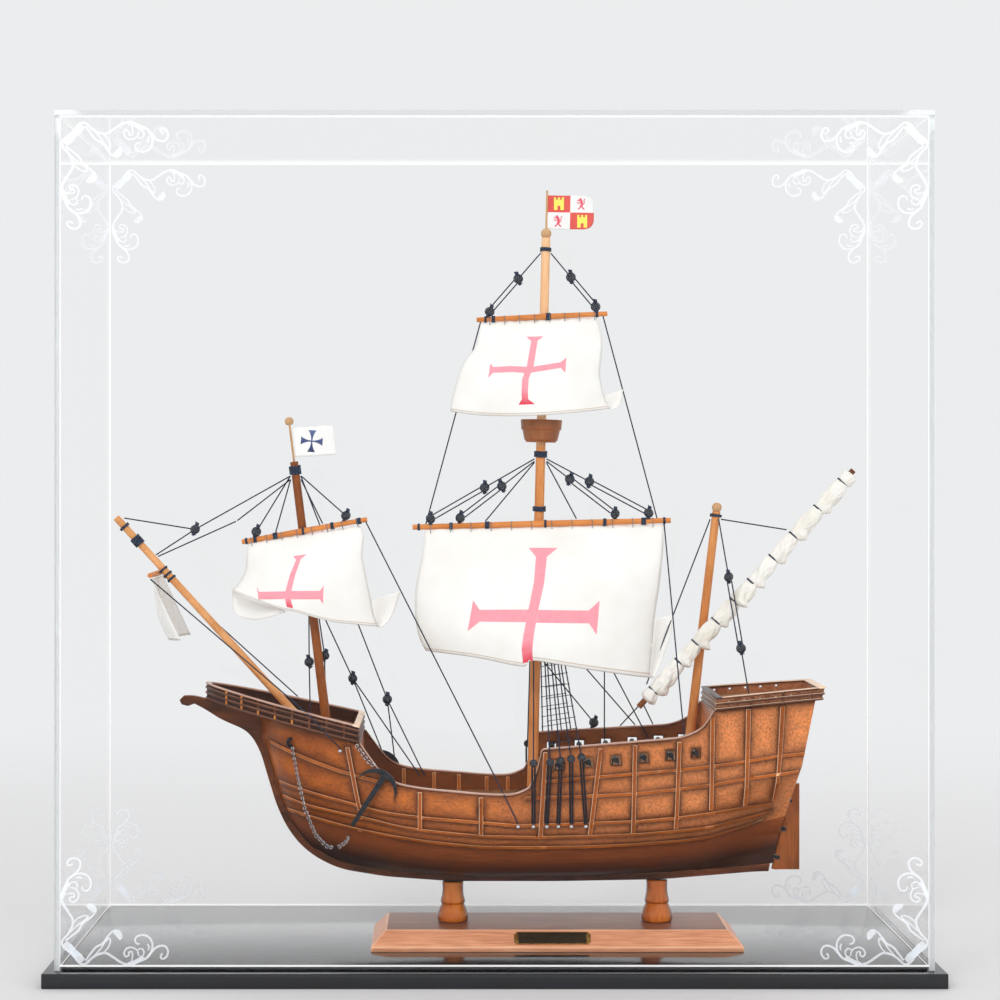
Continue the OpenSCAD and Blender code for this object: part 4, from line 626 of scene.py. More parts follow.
def plain_mesh(piece):
    """Replace a piece's mesh with what its modifiers make of it."""
    graph = bpy.context.evaluated_depsgraph_get()
    graph.update()
    made = bpy.data.meshes.new_from_object(piece.evaluated_get(graph), depsgraph=graph)
    piece.modifiers.clear()
    piece.data = made
    return piece


def tube_faces(rows, sides):
    """The faces of a closed tube whose points run ring by ring."""
    faces = []
    for row in range(rows):
        for k in range(sides):
            a, b = row * sides + k, row * sides + (k + 1) % sides
            faces.append((a, b, b + sides, a + sides))
    return faces + [tuple(range(sides))[::-1], tuple(range(rows * sides, (rows + 1) * sides))]


def grid_faces(across, down):
    """The faces of a grid whose points run row by row."""
    wide = across + 1
    starts = (j * wide + i for j in range(down) for i in range(across))
    return [(k, k + wide, k + wide + 1, k + 1) for k in starts]


def spun(profile, steps):
    """A closed shape turned about Z from a profile of (radius, height) in mm."""
    turns = [2 * math.pi * k / steps for k in range(steps)]
    points = [Vector((r * math.cos(a), r * math.sin(a), z)) for r, z in profile for a in turns]
    return points, tube_faces(len(profile) - 1, steps)


def seat(piece, body):
    """Let a piece move with a body."""
    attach(piece, body)
    return piece


def stand_in(piece, node):
    """Let a piece take a CAD node's place on the base."""
    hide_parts(node)
    return seat(piece, "base")


def finish_node(node, *materials):
    """Give a CAD node that stays its finish."""
    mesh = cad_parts[node].data
    mesh.materials.clear()
    for material in materials:
        mesh.materials.append(material)
    mesh.polygons.foreach_set("material_index", [0] * len(mesh.polygons))


def islands(node):
    """The separate solids of a CAD node, each as an array of its corners in mm."""
    bm = merged(node)
    found, seen_verts = [], set()
    for first in bm.verts:
        if first in seen_verts:
            continue
        seen_verts.add(first)
        todo, group = [first], []
        while todo:
            vert = todo.pop()
            group.append(tuple(vert.co / MM))
            for edge in vert.link_edges:
                other = edge.other_vert(vert)
                if other not in seen_verts:
                    seen_verts.add(other)
                    todo.append(other)
        found.append(np.array(group))
    bm.free()
    return found


def middle_of(corners):
    """The middle of a solid's box."""
    return (corners.min(0) + corners.max(0)) / 2


# %% [markdown]
# ## The case
# The black base and the locating plate get lightly rounded edges, and the five panels keep their CAD
# shape. Only the finish differs between a panel's faces and its edges: the faces whose normal points
# through the wall are clear, and the rest are sawn edges.

# %% Base and panels
rounded_copy("base_plate", 0.8, base_gloss, base_gloss, segments=3)
rounded_copy("locating_plate", 0.5, locator_gloss, locator_gloss)
PANEL_AXIS = {"panel_front": 1, "panel_back": 1, "panel_left": 0, "panel_right": 0, "panel_top": 2}
for node, axis in PANEL_AXIS.items():
    finish_node(node, acrylic, acrylic_edge)
    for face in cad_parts[node].data.polygons:
        if abs(face.normal[axis]) < 0.9:
            face.material_index = 1

# %% [markdown]
# The panels are cemented in their corners. A bright line along each edge of the cover, and a line
# along its foot, stand for the light that the joints catch: a painted highlight that glows a little.

# %% Seams with a painted highlight
INSIDE = (346, 146)
SEAM = 1.3
THIN_SEAM = 0.45
SEAM_Z = (15.4, 693)
BAR_FACES = ((0, 2, 3, 1), (4, 5, 7, 6), (0, 1, 5, 4), (2, 6, 7, 3), (0, 4, 6, 2), (1, 3, 7, 5))


def bar(low, high):
    """A plain box between two corners in mm."""
    (x0, y0, z0), (x1, y1, z1) = low, high
    return [(x, y, z) for z in (z0, z1) for y in (y0, y1) for x in (x0, x1)], BAR_FACES


half_x, half_y = INSIDE
seam_boxes = []
for side in (-1, 1):
    for low_z, high_z in ((SEAM_Z[0], SEAM_Z[0] + SEAM), (SEAM_Z[1] - SEAM, SEAM_Z[1])):
        y0, y1 = sorted((side * half_y, side * (half_y - SEAM)))
        seam_boxes.append(((-half_x, y0, low_z), (half_x, y1, high_z)))
        x0, x1 = sorted((side * half_x, side * (half_x - THIN_SEAM)))
        seam_boxes.append(((x0, SEAM - half_y, low_z), (x1, half_y - SEAM, low_z + THIN_SEAM)))
    for end in (-1, 1):
        x0, x1 = sorted((side * half_x, side * (half_x - THIN_SEAM)))
        y0, y1 = sorted((end * half_y, end * (half_y - THIN_SEAM)))
        seam_boxes.append(((x0, y0, SEAM_Z[0] + SEAM), (x1, y1, SEAM_Z[1] - SEAM)))
seam_bars = gathered([bar(*corners) for corners in seam_boxes], MM)
seams = new_piece("cemented_seams", *seam_bars, [seam_highlight], smooth=False)
seat(seams, "cover")
print("Seam bars:", len(seam_boxes))

# %% [markdown]
# ## The corner ornaments
# White frosted scrolls are printed near the corners of the four upright panels. Each is a stem
# with two leaves and a crest of three curls, mirrored about the corner's diagonal. A stroke is a
# flat ribbon whose width swells and thins like a brush line, so it is drawn from a centre line
# and a width at each point.


# %% Scrolls on the panels
def both_sides(line, widths):
    """The two edges of a brush stroke along a 2D line: a pair of points for each of its points."""
    pairs = []
    for i, (x, z) in enumerate(line):
        ahead, behind = line[min(i + 1, len(line) - 1)], line[max(i - 1, 0)]
        side = Vector((behind[1] - ahead[1], ahead[0] - behind[0])).normalized() * widths[i] / 2
        pairs.append(((x + side.x, z + side.y), (x - side.x, z - side.y)))
    return pairs


def ribbon(line, widths, lift):
    """A flat ribbon along a 2D line in mm: its points and faces."""
    points = [(x, z, lift) for pair in both_sides(line, widths) for x, z in pair]
    return points, [(k - 2, k - 1, k + 1, k) for k in range(2, len(points), 2)]


def smooth_line(knots, count):
    """Points on a smooth line through some knots, evenly spread."""
    knots = [Vector(k) for k in knots]
    last = len(knots) - 1
    dense = []
    for step in range(12 * last + 1):
        i = min(step // 12, last - 1)
        u = step / 12 - i
        a, b, c, d = (knots[max(0, min(last, i + k))] for k in (-1, 0, 1, 2))
        dense.append(
            0.5 * (2 * b + (c - a) * u + (2 * a - 5 * b + 4 * c - d) * u**2 + (3 * b - a - 3 * c + d) * u**3)
        )
    lengths = np.concatenate([[0], np.cumsum([(q - p).length for p, q in zip(dense, dense[1:])])])
    wanted = np.linspace(0, lengths[-1], count)
    columns = [np.interp(wanted, lengths, [p[k] for p in dense]) for k in range(len(dense[0]))]
    return [tuple(float(c[i]) for c in columns) for i in range(count)]


STROKES = [
    (
        [
            (13.5, 22.3), (13.3, 17.3), (16.2, 11.8), (20.3, 7), (24.9, 6.5), (29.9, 10.9), (35.4, 14.1),
            (41.3, 15),
            (47.2, 11.6), (54.1, 7.2), (60.9, 5.9), (66.4, 8.1), (73.2, 10.9), (76.9, 15), (80, 18.6),
            (84.2, 20.7),
            (88.3, 20.4), (90.5, 16.8), (89.6, 12.7), (86.9, 10.4), (84.6, 11.8), (86, 15),
        ],
        2.0,
    ),
    ([(24.9, 9), (29, 14.5), (33.1, 19.5), (38.6, 22.7), (41.7, 26.8), (45.4, 31.4), (49, 33.2)], 1.8),
    ([(31.7, 12.7), (37.2, 18.6), (40.4, 23.6), (44, 26.8), (44.7, 23.6), (42.7, 19.1), (39.9, 15.9)], 1.3),
    (
        [
            (67.3, 12.7), (65.9, 17.3), (61.8, 19.5), (57.7, 18.6), (55.6, 15), (57.1, 12.2), (59.5, 13.6),
            (59.5, 15.6),
            (61.8, 15.9), (62.5, 12.7), (61.4, 8.1),
        ],
        1.4,
    ),
    (
        [
            (68, 22.3), (65.6, 22.7), (64.4, 25.6), (66.4, 28.4), (71.4, 29.3), (75.9, 27.1), (78.2, 22.3),
            (77.5, 16.8), (74.6, 12.7),
        ],
        1.7,
    ),
    ([(66.4, 17.7), (69.3, 18.6), (71.4, 16.2), (70.5, 12.9), (68, 12.2)], 1.3),
    ([(74.1, 22.3), (75.3, 20), (74.8, 17.1)], 1.4),
    ([(47.6, 32), (50.6, 31), (52, 28), (51, 26.4)], 5.2),
    ([(13.2, 19), (16.2, 15), (19.4, 12.2), (23, 8.6)], 6.2),
    ([(59, 6.6), (65, 8.2), (71, 12)], 3.4),
]
STROKE_LIFT = 0.0015


def ornament():
    """One corner's strokes in 2D, mirrored about the diagonal."""
    shapes = []
    for number, (knots, width) in enumerate(STROKES):
        count = 8 * len(knots)
        line = smooth_line(knots, count)
        widths = [width * (0.7 + 0.3 * math.sin(math.pi * i / (count - 1))) for i in range(count)]
        mirrored, patches = ribbon([(q, p) for p, q in line], widths, STROKE_LIFT * number)
        shapes += [ribbon(line, widths, STROKE_LIFT * number), (mirrored, [face[::-1] for face in patches])]
    return gathered(shapes)


case_low, case_high = box_of("panel_front")
side_low, side_high = box_of("panel_left")
back_y = box_of("panel_back")[1].y
right_x = box_of("panel_right")[1].x
FILM = 0.06


def on_panels(points, faces):
    """Copy the corner strokes onto the corners of the four upright panels."""
    walls = [
        (lambda p, u, v: (u, case_low.y - FILM - p, v), case_low.x, case_high.x, 1),
        (lambda p, u, v: (u, back_y + FILM + p, v), case_low.x, case_high.x, -1),
        (lambda p, u, v: (case_low.x - FILM - p, u, v), side_low.y, side_high.y, -1),
        (lambda p, u, v: (right_x + FILM + p, u, v), side_low.y, side_high.y, 1),
    ]
    shapes = []
    for wall, low, high, facing in walls:
        for across in (1, -1):
            for up in (1, -1):
                placed = []
                for a, b, lift in points:
                    u = low + a if across == 1 else high - a
                    v = case_low.z + b if up == 1 else case_high.z - b
                    placed.append(wall(lift, u, v))
                turned = facing * across * up == 1
                shapes.append((placed, [face[::-1] for face in faces] if turned else faces))
    return gathered(shapes, MM)


scrolls = new_piece("corner_scrolls", *on_panels(*ornament()), [frosting], smooth=False)
seat(scrolls, "cover")
print("Scroll faces:", len(scrolls.data.polygons))

# %% [markdown]
# ## The stand
# A router cut the board's bevel, and rubbing between coats left its edges pale. Each edge of the
# CAD board is rounded a little and takes the paler finish, which also carries a painted highlight.
# The bevel is painted paler than the top face, a lit copy of the same mahogany: painted light. The
# name plate is brass with a dark field, and it stays blank.

# %% Stand and plate
stand = rounded_copy("stand_board", 0.9, lit_stand_bevel, stand_lit_edge, segments=3, angle=20)
stand.data.materials.append(stand_top)
top_face = len(stand.data.materials) - 1
# The top face takes the plain mahogany; the bevel keeps its painted light.
for face in stand.data.polygons:
    if face.normal.z > 0.97 and face.material_index == 0:
        face.material_index = top_face
PILLAR_PROFILE = [
    (0.5, 0), (11.8, 0), (12.6, 0.9), (13, 2.4), (13, 5.2), (12.5, 8), (11.4, 10.9), (10.3, 13.2),
    (9.7, 14.6), (9.3, 15.1),
    (9.7, 15.6), (10.3, 16.4), (10.3, 17.6), (9.9, 19.6), (9.2, 22.4), (8.8, 26), (8.8, 30), (9.1, 32.8),
    (8.6, 33.7),
    (7.6, 34), (0.5, 34),
]


def pillar_pair():
    """Two turned pillars, each spun from its profile and set where the CAD pillar stands."""
    shapes = []
    for corners in islands("pillars"):
        foot = corners.min(0)
        stretch = (corners.max(0)[2] - foot[2]) / PILLAR_PROFILE[-1][1]
        x, y, _ = middle_of(corners)
        points, faces = spun(PILLAR_PROFILE, 56)
        shapes.append(([(p.x + x, p.y + y, p.z * stretch + foot[2]) for p in points], faces))
    return new_piece("turned_pillars", *gathered(shapes, MM), [pillar_wood])


pillars = pillar_pair()
pillars.data.set_sharp_from_angle(angle=math.radians(50))
stand_in(pillars, "pillars")
finish_node("name_plate", brass)
finish_node("name_plate_pins", brass)
PLATE_TILT = math.radians(45.9)
FIELD_INSET = 3.4
FIELD_HALF = 5.2


def plate_field():
    """The dark field on the plate, a little inside its edge, lying on its face."""
    low, high = box_of("name_plate")
    up = Vector((0, math.cos(PLATE_TILT), math.sin(PLATE_TILT)))
    out = Vector((0, -up.z, up.y))
    half_l, half_h = (high.x - low.x) / 2 - FIELD_INSET, FIELD_HALF
    rows = [(-half_l, -half_h), (half_l, -half_h), (half_l, half_h), (-half_l, half_h)]
    start = (low + high) / 2 + out * 0.42
    flat = [start + Vector((a, 0, 0)) + up * b for a, b in rows]
    points = [p * MM for p in flat + [p + out * 0.15 for p in flat]]
    faces = [(4, 5, 6, 7), (0, 1, 5, 4), (1, 2, 6, 5), (2, 3, 7, 6), (3, 0, 4, 7), (3, 2, 1, 0)]
    return new_piece("name_plate_field", points, faces, [patina], smooth=False)


seat(plate_field(), "base")

# %% [markdown]
# ## The hull
# Antique finish: after the light stain, dark stain is rubbed in and wiped off, and it stays in
# every corner. The darkening near the trim is that stain and also painted shade in the corners;
# where it reaches further at the bow, on the inner faces of the bulwarks and in the gun ports, it
# is painted shade. So each point of the planking stores how near it is to the trim, and how far it
# lies below the lowest wale, where the hull turning under is darkened as painted shade. The CAD hull
# is first cut into small triangles and its facets are eased, because a planked hull has fair
# curves.


# %% Planking with stain and painted shade in its corners
def tree_of(nodes):
    """A search tree over several CAD nodes."""
    shapes = []
    for node in nodes:
        bm = merged(node)
        bm.verts.index_update()
        shapes.append(([v.co.copy() for v in bm.verts], [tuple(v.index for v in f.verts) for f in bm.faces]))
        bm.free()
    return BVHTree.FromPolygons(*gathered(shapes))


BOW_X = -195.2
HULL_L = 448
HULL_LOW = 70.9
BARREL_R = 2.3
INWARD = -8
INNER_Z = 100
BOW_SHADE_X = -100
BOW_FADE = 60
PORT_HALF = 4.4
LOW_WALE = [
    (0, 41), (5, 37.5), (9.1, 35.5), (18.6, 29.7), (31.1, 24.4), (41.2, 21.5), (58.4, 21.5), (72.9, 22.6),
    (83, 24.7), (95.3, 32.3), (104, 38),
]
WALE_X, WALE_Z = [BOW_X + u / 100 * HULL_L for u, _ in LOW_WALE], [HULL_LOW + 1.5 * p for _, p in LOW_WALE]
BOTTOM_FADE = 26
CROSS_RAIL = 5.5
LIT_POSTS_X = -165
LIT_ROW = 5
POST_HALF = 1.2
SHIP_Y = -28
ports = [(middle_of(c)[0], c[:, 2].max() - BARREL_R) for c in islands("cannons")]
hull_edges = tree_of(
    ["ribs", "wales", "waist_rails", "castle_mouldings", "keel_and_stem", "forecastle", "poop", "cannons"]
)
castle_edges = tree_of(["castle_mouldings", "castle_posts", "forecastle_rail", "poop_rail"])


def stained_skin(node, name, longest, easing, trim, reach, inside, bow_shade_reach=0):
    """The planking of a CAD node, with its stain and painted shade stored on its points as two values."""
    bm = merged(node)
    eased(bm, longest, easing)
    piece = piece_of(bm, name)
    near, low = [], []
    for vert in piece.data.vertices:
        gap = trim.find_nearest(vert.co)[3] / MM
        x, y, z = vert.co / MM
        # Painted shade: towards the bow the darkening reaches further from the trim.
        bow = min(1.0, max(0.0, (BOW_SHADE_X - x) / BOW_FADE))
        stain_and_shade = math.exp(-gap / (reach + bow_shade_reach * bow))
        # Painted shade on the inner faces of the bulwarks.
        if (y - SHIP_Y) * vert.normal.y < INWARD and z > INNER_Z:
            stain_and_shade = max(stain_and_shade, inside)
        # Painted shade: the gun ports are dark all through.
        if any(abs(x - px) < PORT_HALF and abs(z - pz) < PORT_HALF for px, pz in ports):
            stain_and_shade = 1.0
        near.append(stain_and_shade)
        # Painted shade below the lowest wale, deepening towards the keel.
        drop = float(np.interp(vert.co.x / MM, WALE_X, WALE_Z)) - vert.co.z / MM
        low.append(0.0 if drop < 0 else 0.25 + 0.75 * min(1.0, drop / BOTTOM_FADE))
    for label, values in (("stain", near), ("bottom", low)):
        piece.data.attributes.new(label, "FLOAT", "POINT").data.foreach_set("value", values)
    smoothed(piece, 32)
    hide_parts(node)
    print(name, "triangles:", len(piece.data.polygons))
    return piece


def hull_finish(name, bright, plain, deep, low_tone, keel_tone, aft_light):
    """Varnished planking: bright in the middle of each panel, dark with stain and painted shade in its
    corners.
    """
    made, tree, shader, place = blank_material(name)
    streaks = clouds_of(tree, place, 1.0, 6.0, (45, 700, 1000))
    clouds = clouds_of(tree, place, 1.0, 4.0, (32, 60, 60))
    both = {0: 0.6, 2: ranged(tree, streaks, 0.3, 0.7), 3: ranged(tree, clouds, 0.36, 0.64)}
    tone = blend(tree, add(tree, "ShaderNodeMix", both).outputs[0], plain, bright)
    # Painted light: the planking grows paler towards the stern.
    aft = add(tree, "ShaderNodeSeparateXYZ", {0: place}).outputs[0]
    tone = blend(tree, ranged(tree, aft, -0.19, 0.17, 0.0, 0.72), tone, aft_light)
    specks = ranged(tree, clouds_of(tree, place, 620.0, 2.0), 0.35, 0.6, 0.62, 1.0)
    tone = blend(tree, 1.0, tone, specks, "MULTIPLY")
    # Painted shade below the lowest wale: from the low tone down to the keel tone.
    bottom = attribute(tree, "bottom")
    low_wood = blend(tree, ranged(tree, bottom, 0.25, 1.0), low_tone, keel_tone)
    low_wood = blend(tree, 1.0, low_wood, ranged(tree, streaks, 0.25, 0.75, 0.6, 1.35), "MULTIPLY")
    tone = blend(tree, sums(tree, "GREATER_THAN", bottom, 0.1), tone, low_wood)
    # Dark stain and painted shade near the trim.
    ragged = ranged(tree, clouds, 0.3, 0.7, 0.68, 1.15)
    stain_and_shade = sums(tree, "MULTIPLY", attribute(tree, "stain"), ragged, use_clamp=True)
    tone = blend(tree, sums(tree, "MULTIPLY", stain_and_shade, 0.9), tone, deep)
    settle(
        tree, shader, tone, (clouds, 0.25, 0.0012),
        Roughness=0.42, Specular_IOR_Level=0.18, Coat_Weight=0.12, Coat_Roughness=0.12,
    )
    return made


# Tones: bright, plain, stain and painted shade in corners, painted shade below the wale and at the keel, and
# painted light aft.
planking = hull_finish("stained_planking", "#ee7c0e", "#843602", "#2a0e06", "#b05c2c", "#3c1a08", "#ffa264")
hull_skin = stained_skin("hull_shell", "hull_planking", 3.2, 10, hull_edges, 5.2, 0.85, 4)
hull_skin.data.materials.append(planking)
seat(hull_skin, "base")

# %% [markdown]
# ## Trim on the hull
# Wales are long strips that stiffen the planking, and ribs stand across them. Handling wears their
# corners pale, and a painted highlight makes them paler; rounded edges that face down take painted
# shade. Where a strip is too thin for a wide rounded corner, its wood's own edge tones show the wear
# and the painted light. The cross rails at the ends of the castles take a finish of their own, so
# the rails are cut there first: the aft ends take the pale edge finish, and the poop's front end
# takes painted shade.

# %% Trim, castles and decks
rounded_copy("wales", 0.3, hull_trim, worn_lit_edge, under=painted_underside_shade, fair=8)
rounded_copy("ribs", 0.3, rib_trim, worn_lit_edge, fair=4)
rounded_copy("waist_rails", 0.3, rail_wood, worn_lit_edge, under=painted_underside_shade, fair=8)
rounded_copy("keel_and_stem", 0.3, keel_wood, hull_trim, under=painted_underside_shade, fair=10)
rounded_copy("inner_frames", 0.3, frame_wood, worn_lit_edge)


def repaint(piece, chosen, material, cut=None):
    """Give another finish to the faces that a test picks, after a cut across X at a place in mm."""

    def cut_across(bm):
        parts = bm.verts[:] + bm.edges[:] + bm.faces[:]
        bmesh.ops.bisect_plane(bm, geom=parts, plane_co=(cut * MM, 0, 0), plane_no=(1, 0, 0))

    if cut is not None:
        reworked(piece, cut_across)
    piece.data.materials.append(material)
    number = len(piece.data.materials) - 1
    for face in piece.data.polygons:
        if chosen(face, face.center / MM):
            face.material_index = number


fore_box, poop_box = box_of("forecastle_rail"), box_of("poop_rail")
fore_rail = rounded_copy("forecastle_rail", 0.45, rail_wood, cream_lit_edge, under=painted_underside_shade)
aft = fore_box[1].x - CROSS_RAIL
repaint(fore_rail, lambda face, at: at.x > aft, cream_lit_edge, aft)
poop_rail = rounded_copy("poop_rail", 0.45, rail_wood, cream_lit_edge, under=painted_underside_shade)
stern, front = poop_box[1].x - CROSS_RAIL, poop_box[0].x + CROSS_RAIL
repaint(poop_rail, lambda face, at: at.x > stern, cream_lit_edge, stern)
# The poop's front cross rail takes painted shade.
repaint(poop_rail, lambda face, at: at.x < front, front_wood, front)
mouldings = rounded_copy("castle_mouldings", 0.4, castle_wood, moulding_lit_edge, under=painted_underside_shade)
repaint(mouldings, lambda face, at: at.x > 0 and face.material_index == 1, cream_lit_edge)
posts = rounded_copy("castle_posts", 0.3, post_wood, post_edge)
post_points = np.array([v.co[:] for v in posts.data.vertices]) / MM


def in_lit_row(face, at):
    """Whether a face is on the lowest block of one of the foremost posts, which takes painted light."""
    near = post_points[np.abs(post_points[:, 0] - at.x) < POST_HALF]
    return at.x < LIT_POSTS_X and at.z < near[:, 2].min() + LIT_ROW


# The lowest blocks of the foremost posts are painted lit; the rest stay in painted shade.
repaint(posts, in_lit_row, lit_post)
# Each castle's tones in the same order: bright, plain, stain and painted shade in corners, painted shade
# below the wale and at the keel, and painted light aft.
bulwark_tones = {
    "forecastle": ("#643018", "#2e1409", "#0e0502", "#5f3016", "#4c240e", "#7c4424"),
    "poop": ("#cc7c4e", "#84441f", "#1c0c06", "#5f3016", "#4c240e", "#d08458"),
}
for node, tones in bulwark_tones.items():
    skin = stained_skin(node, node + "_planking", 2.6, 4, castle_edges, 2.0, 0.1)
    skin.data.materials.append(hull_finish("stained_" + node, *tones))
    seat(skin, "base")
for node in ("waist_deck", "quarter_deck", "forecastle_deck", "poop_deck"):
    finish_node(node, deck_planks)
finish_node("rudder", rudder_wood)
for node in ("gudgeons", "rudder_pins"):
    finish_node(node, iron)

# %% [markdown]
# ## Masts and yards
# Masts are turned dowels. The fore mast is darker than the others. The main mast is paler above its
# crow's nest: painted light, as its lower part stands in the shade of the sails. The yards are left
# light. They keep their CAD shape.

# %% Spars
SPARS = {
    "main_mast": pole_light, "fore_mast": pole_dark, "mizzen_mast": pole_light, "bowsprit": sprit_wood,
    "main_yard": yard_wood, "top_yard": yard_wood, "fore_yard": yard_wood, "sprit_yard": yard_wood,
    "lateen_yard": lateen_wood, "mast_trucks": ball_wood, "flag_staffs": ball_wood,
}
for node, material in SPARS.items():
    finish_node(node, material)
    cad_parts[node].data.shade_smooth()
nest_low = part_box("crows_nest")[0][2]
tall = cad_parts["main_mast"].data
# Above the crow's nest the main mast takes the paler, painted lit wood.
tall.materials.append(lit_topmast_wood)
for face in tall.polygons:
    face.material_index = 1 if face.center.z > nest_low else 0
rounded_copy("crows_nest", 0.35, nest_wood, hull_trim)


# %% [markdown]
# ## Trees for what repeats
# Thread wound round a spar is a spiral, laces are loops along a yard, and blocks, deadeyes and
# nail heads are one shape at many places. Geometry Nodes make each of these, with its sizes as
# named inputs.


# %% Geometry Nodes helpers
def new_tree(name, **inputs):
    """An empty Geometry Nodes tree with named inputs, its input's sockets and its output node."""
    tree = bpy.data.node_groups.new(name, "GeometryNodeTree")
    tree.interface.new_socket("Geometry", in_out="INPUT", socket_type="NodeSocketGeometry")
    for label, kind in inputs.items():
        tree.interface.new_socket(label, in_out="INPUT", socket_type="NodeSocket" + kind)
    tree.interface.new_socket("Geometry", in_out="OUTPUT", socket_type="NodeSocketGeometry")
    return tree, add(tree, "NodeGroupInput").outputs, add(tree, "NodeGroupOutput")


def end_tree(tree, given, sink, made):
    """End a tree: make what it placed real, and give it the finish."""
    solid = add(tree, "GeometryNodeRealizeInstances", {0: made})
    dressed = add(
        tree, "GeometryNodeSetMaterial", {"Geometry": solid.outputs[0], "Material": given["Finish"]},
    )
    tree.links.new(dressed.outputs[0], sink.inputs[0])


def tube_of(tree, line, sides, radius, caps=False):
    """A tube round a curve in a tree."""
    round_it = add(tree, "GeometryNodeCurvePrimitiveCircle", {"Resolution": sides, "Radius": radius})
    inputs = {"Curve": line, "Profile Curve": round_it.outputs[0], "Fill Caps": caps}
    return add(tree, "GeometryNodeCurveToMesh", inputs).outputs[0]


def grow(tree, name, points=(), turns=None, **sizes):
    """Run a tree on some points in metres and keep what it makes as a plain mesh piece."""
    seeds = bpy.data.meshes.new(name)
    seeds.from_pydata([tuple(p) for p in points] or [(0, 0, 0)], [], [])
    if turns:
        layer = seeds.attributes.new("turn", "FLOAT_VECTOR", "POINT")
        layer.data.foreach_set("vector", [v for turn in turns for v in turn])
    holder = bpy.data.objects.new(name, seeds)
    scene.collection.objects.link(holder)
    grower = holder.modifiers.new("grow", "NODES")
    grower.node_group = tree
    for item in tree.interface.items_tree:
        if item.in_out == "INPUT" and item.name in sizes:
            grower[item.identifier] = sizes[item.name]
    return plain_mesh(holder)


def joined(name, parts):
    """Join several plain pieces into one."""
    points, faces, picks, materials = [], [], [], []
    for part in parts:
        shift = len(points)
        points += [v.co.copy() for v in part.data.vertices]
        for face in part.data.polygons:
            faces.append(tuple(k + shift for k in face.vertices))
            material = part.data.materials[face.material_index]
            if material not in materials:
                materials.append(material)
            picks.append(materials.index(material))
        bpy.data.objects.remove(part)
    return new_piece(name, points, faces, materials, picks)


winding, given, sink = new_tree(
    "thread_winding", Radius="Float", Height="Float", Turns="Float", Thread="Float", Finish="Material"
)
coil = {
    "Resolution": 18, "Rotations": given["Turns"], "Start Radius": given["Radius"],
    "End Radius": given["Radius"], "Height": given["Height"],
}
coil = add(winding, "GeometryNodeCurveSpiral", coil).outputs[0]
end_tree(winding, given, sink, tube_of(winding, coil, 6, given["Thread"], caps=True))

scatter, given, sink = new_tree("shape_at_points", Shape="Object", Size="Float", Finish="Material")
shape = add(scatter, "GeometryNodeObjectInfo", {"Object": given["Shape"]})
turned = add(scatter, "GeometryNodeInputNamedAttribute", {"Name": "turn"}, data_type="FLOAT_VECTOR")
copies = {
    "Points": given["Geometry"], "Instance": shape.outputs["Geometry"],
    "Rotation": turned.outputs[0], "Scale": given["Size"],
}
end_tree(scatter, given, sink, add(scatter, "GeometryNodeInstanceOnPoints", copies).outputs[0])

lacing, given, sink = new_tree(
    "lacing_loops", Count="Int", Start="Vector", Step="Vector", Loop="Float", Thread="Float", Turn="Vector",
    Finish="Material",
)
marks = {"Count": given["Count"], "Start Location": given["Start"], "Offset": given["Step"]}
marks = add(lacing, "GeometryNodeMeshLine", marks).outputs[0]
ring = add(lacing, "GeometryNodeCurvePrimitiveCircle", {"Resolution": 16, "Radius": given["Loop"]}).outputs[0]
loops = {"Points": marks, "Instance": tube_of(lacing, ring, 5, given["Thread"]), "Rotation": given["Turn"]}
end_tree(lacing, given, sink, add(lacing, "GeometryNodeInstanceOnPoints", loops).outputs[0])


# %% [markdown]
# ## Lashings
# Every band of thread in the CAD model is a plain ring. Its axis is the direction in which its
# corners spread differently from the other two, and its radius and height follow from that. A
# spiral of thread takes each ring's place. The yards carry more bands, and the bowsprit three.


# %% Wind the thread
def wind(name, middle, axis, radius, height, thread_d):
    """A coil of thread round an axis, with its middle at a point, all in mm."""
    piece = grow(
        winding, name, Radius=(radius - thread_d / 2) * MM, Height=(height - thread_d) * MM,
        Turns=max(2.0, round(height / thread_d)), Thread=thread_d / 2 * MM, Finish=lashing_thread,
    )
    turn = Vector((0, 0, 1)).rotation_difference(Vector(axis).normalized()).to_matrix().to_4x4()
    start = Matrix.Translation((0, 0, -(height - thread_d) / 2 * MM))
    piece.data.transform(Matrix.Translation(Vector(middle) * MM) @ turn @ start)
    return piece


def ring_of(corners):
    """Middle, axis, outer radius and height of a ring from its corners in mm."""
    middle = middle_of(corners)
    spread, axes = np.linalg.eigh(np.cov((corners - middle).T))
    odd = int(np.argmax([abs(spread[k] - (spread.sum() - spread[k]) / 2) for k in range(3)]))
    axis = axes[:, odd]
    along = (corners - middle) @ axis
    radial = np.linalg.norm((corners - middle) - np.outer(along, axis), axis=1)
    return middle, axis, radial.max(), along.max() - along.min()


coils = []
THREAD_D = 1.0
GASKET_R = 6.9
GASKET_H = 3
FURL_WAIST = 5.5
COIL_H = 2.2
for number, corners in enumerate(islands("lashings")):
    middle, axis, radius, height = ring_of(corners)
    if radius > GASKET_R and height < GASKET_H:
        radius = FURL_WAIST
    coils.append(wind(f"coil_{number}", middle, axis, radius, max(height, COIL_H), THREAD_D))


def yard_ends(node, thickness):
    """The two ends of a yard's middle line, from its CAD box, in mm."""
    low, high = box_of(node)
    depth = (low.y + high.y) / 2
    end = 0.4 * thickness
    return Vector((low.x, depth, low.z + end)), Vector((high.x, depth, high.z - end))


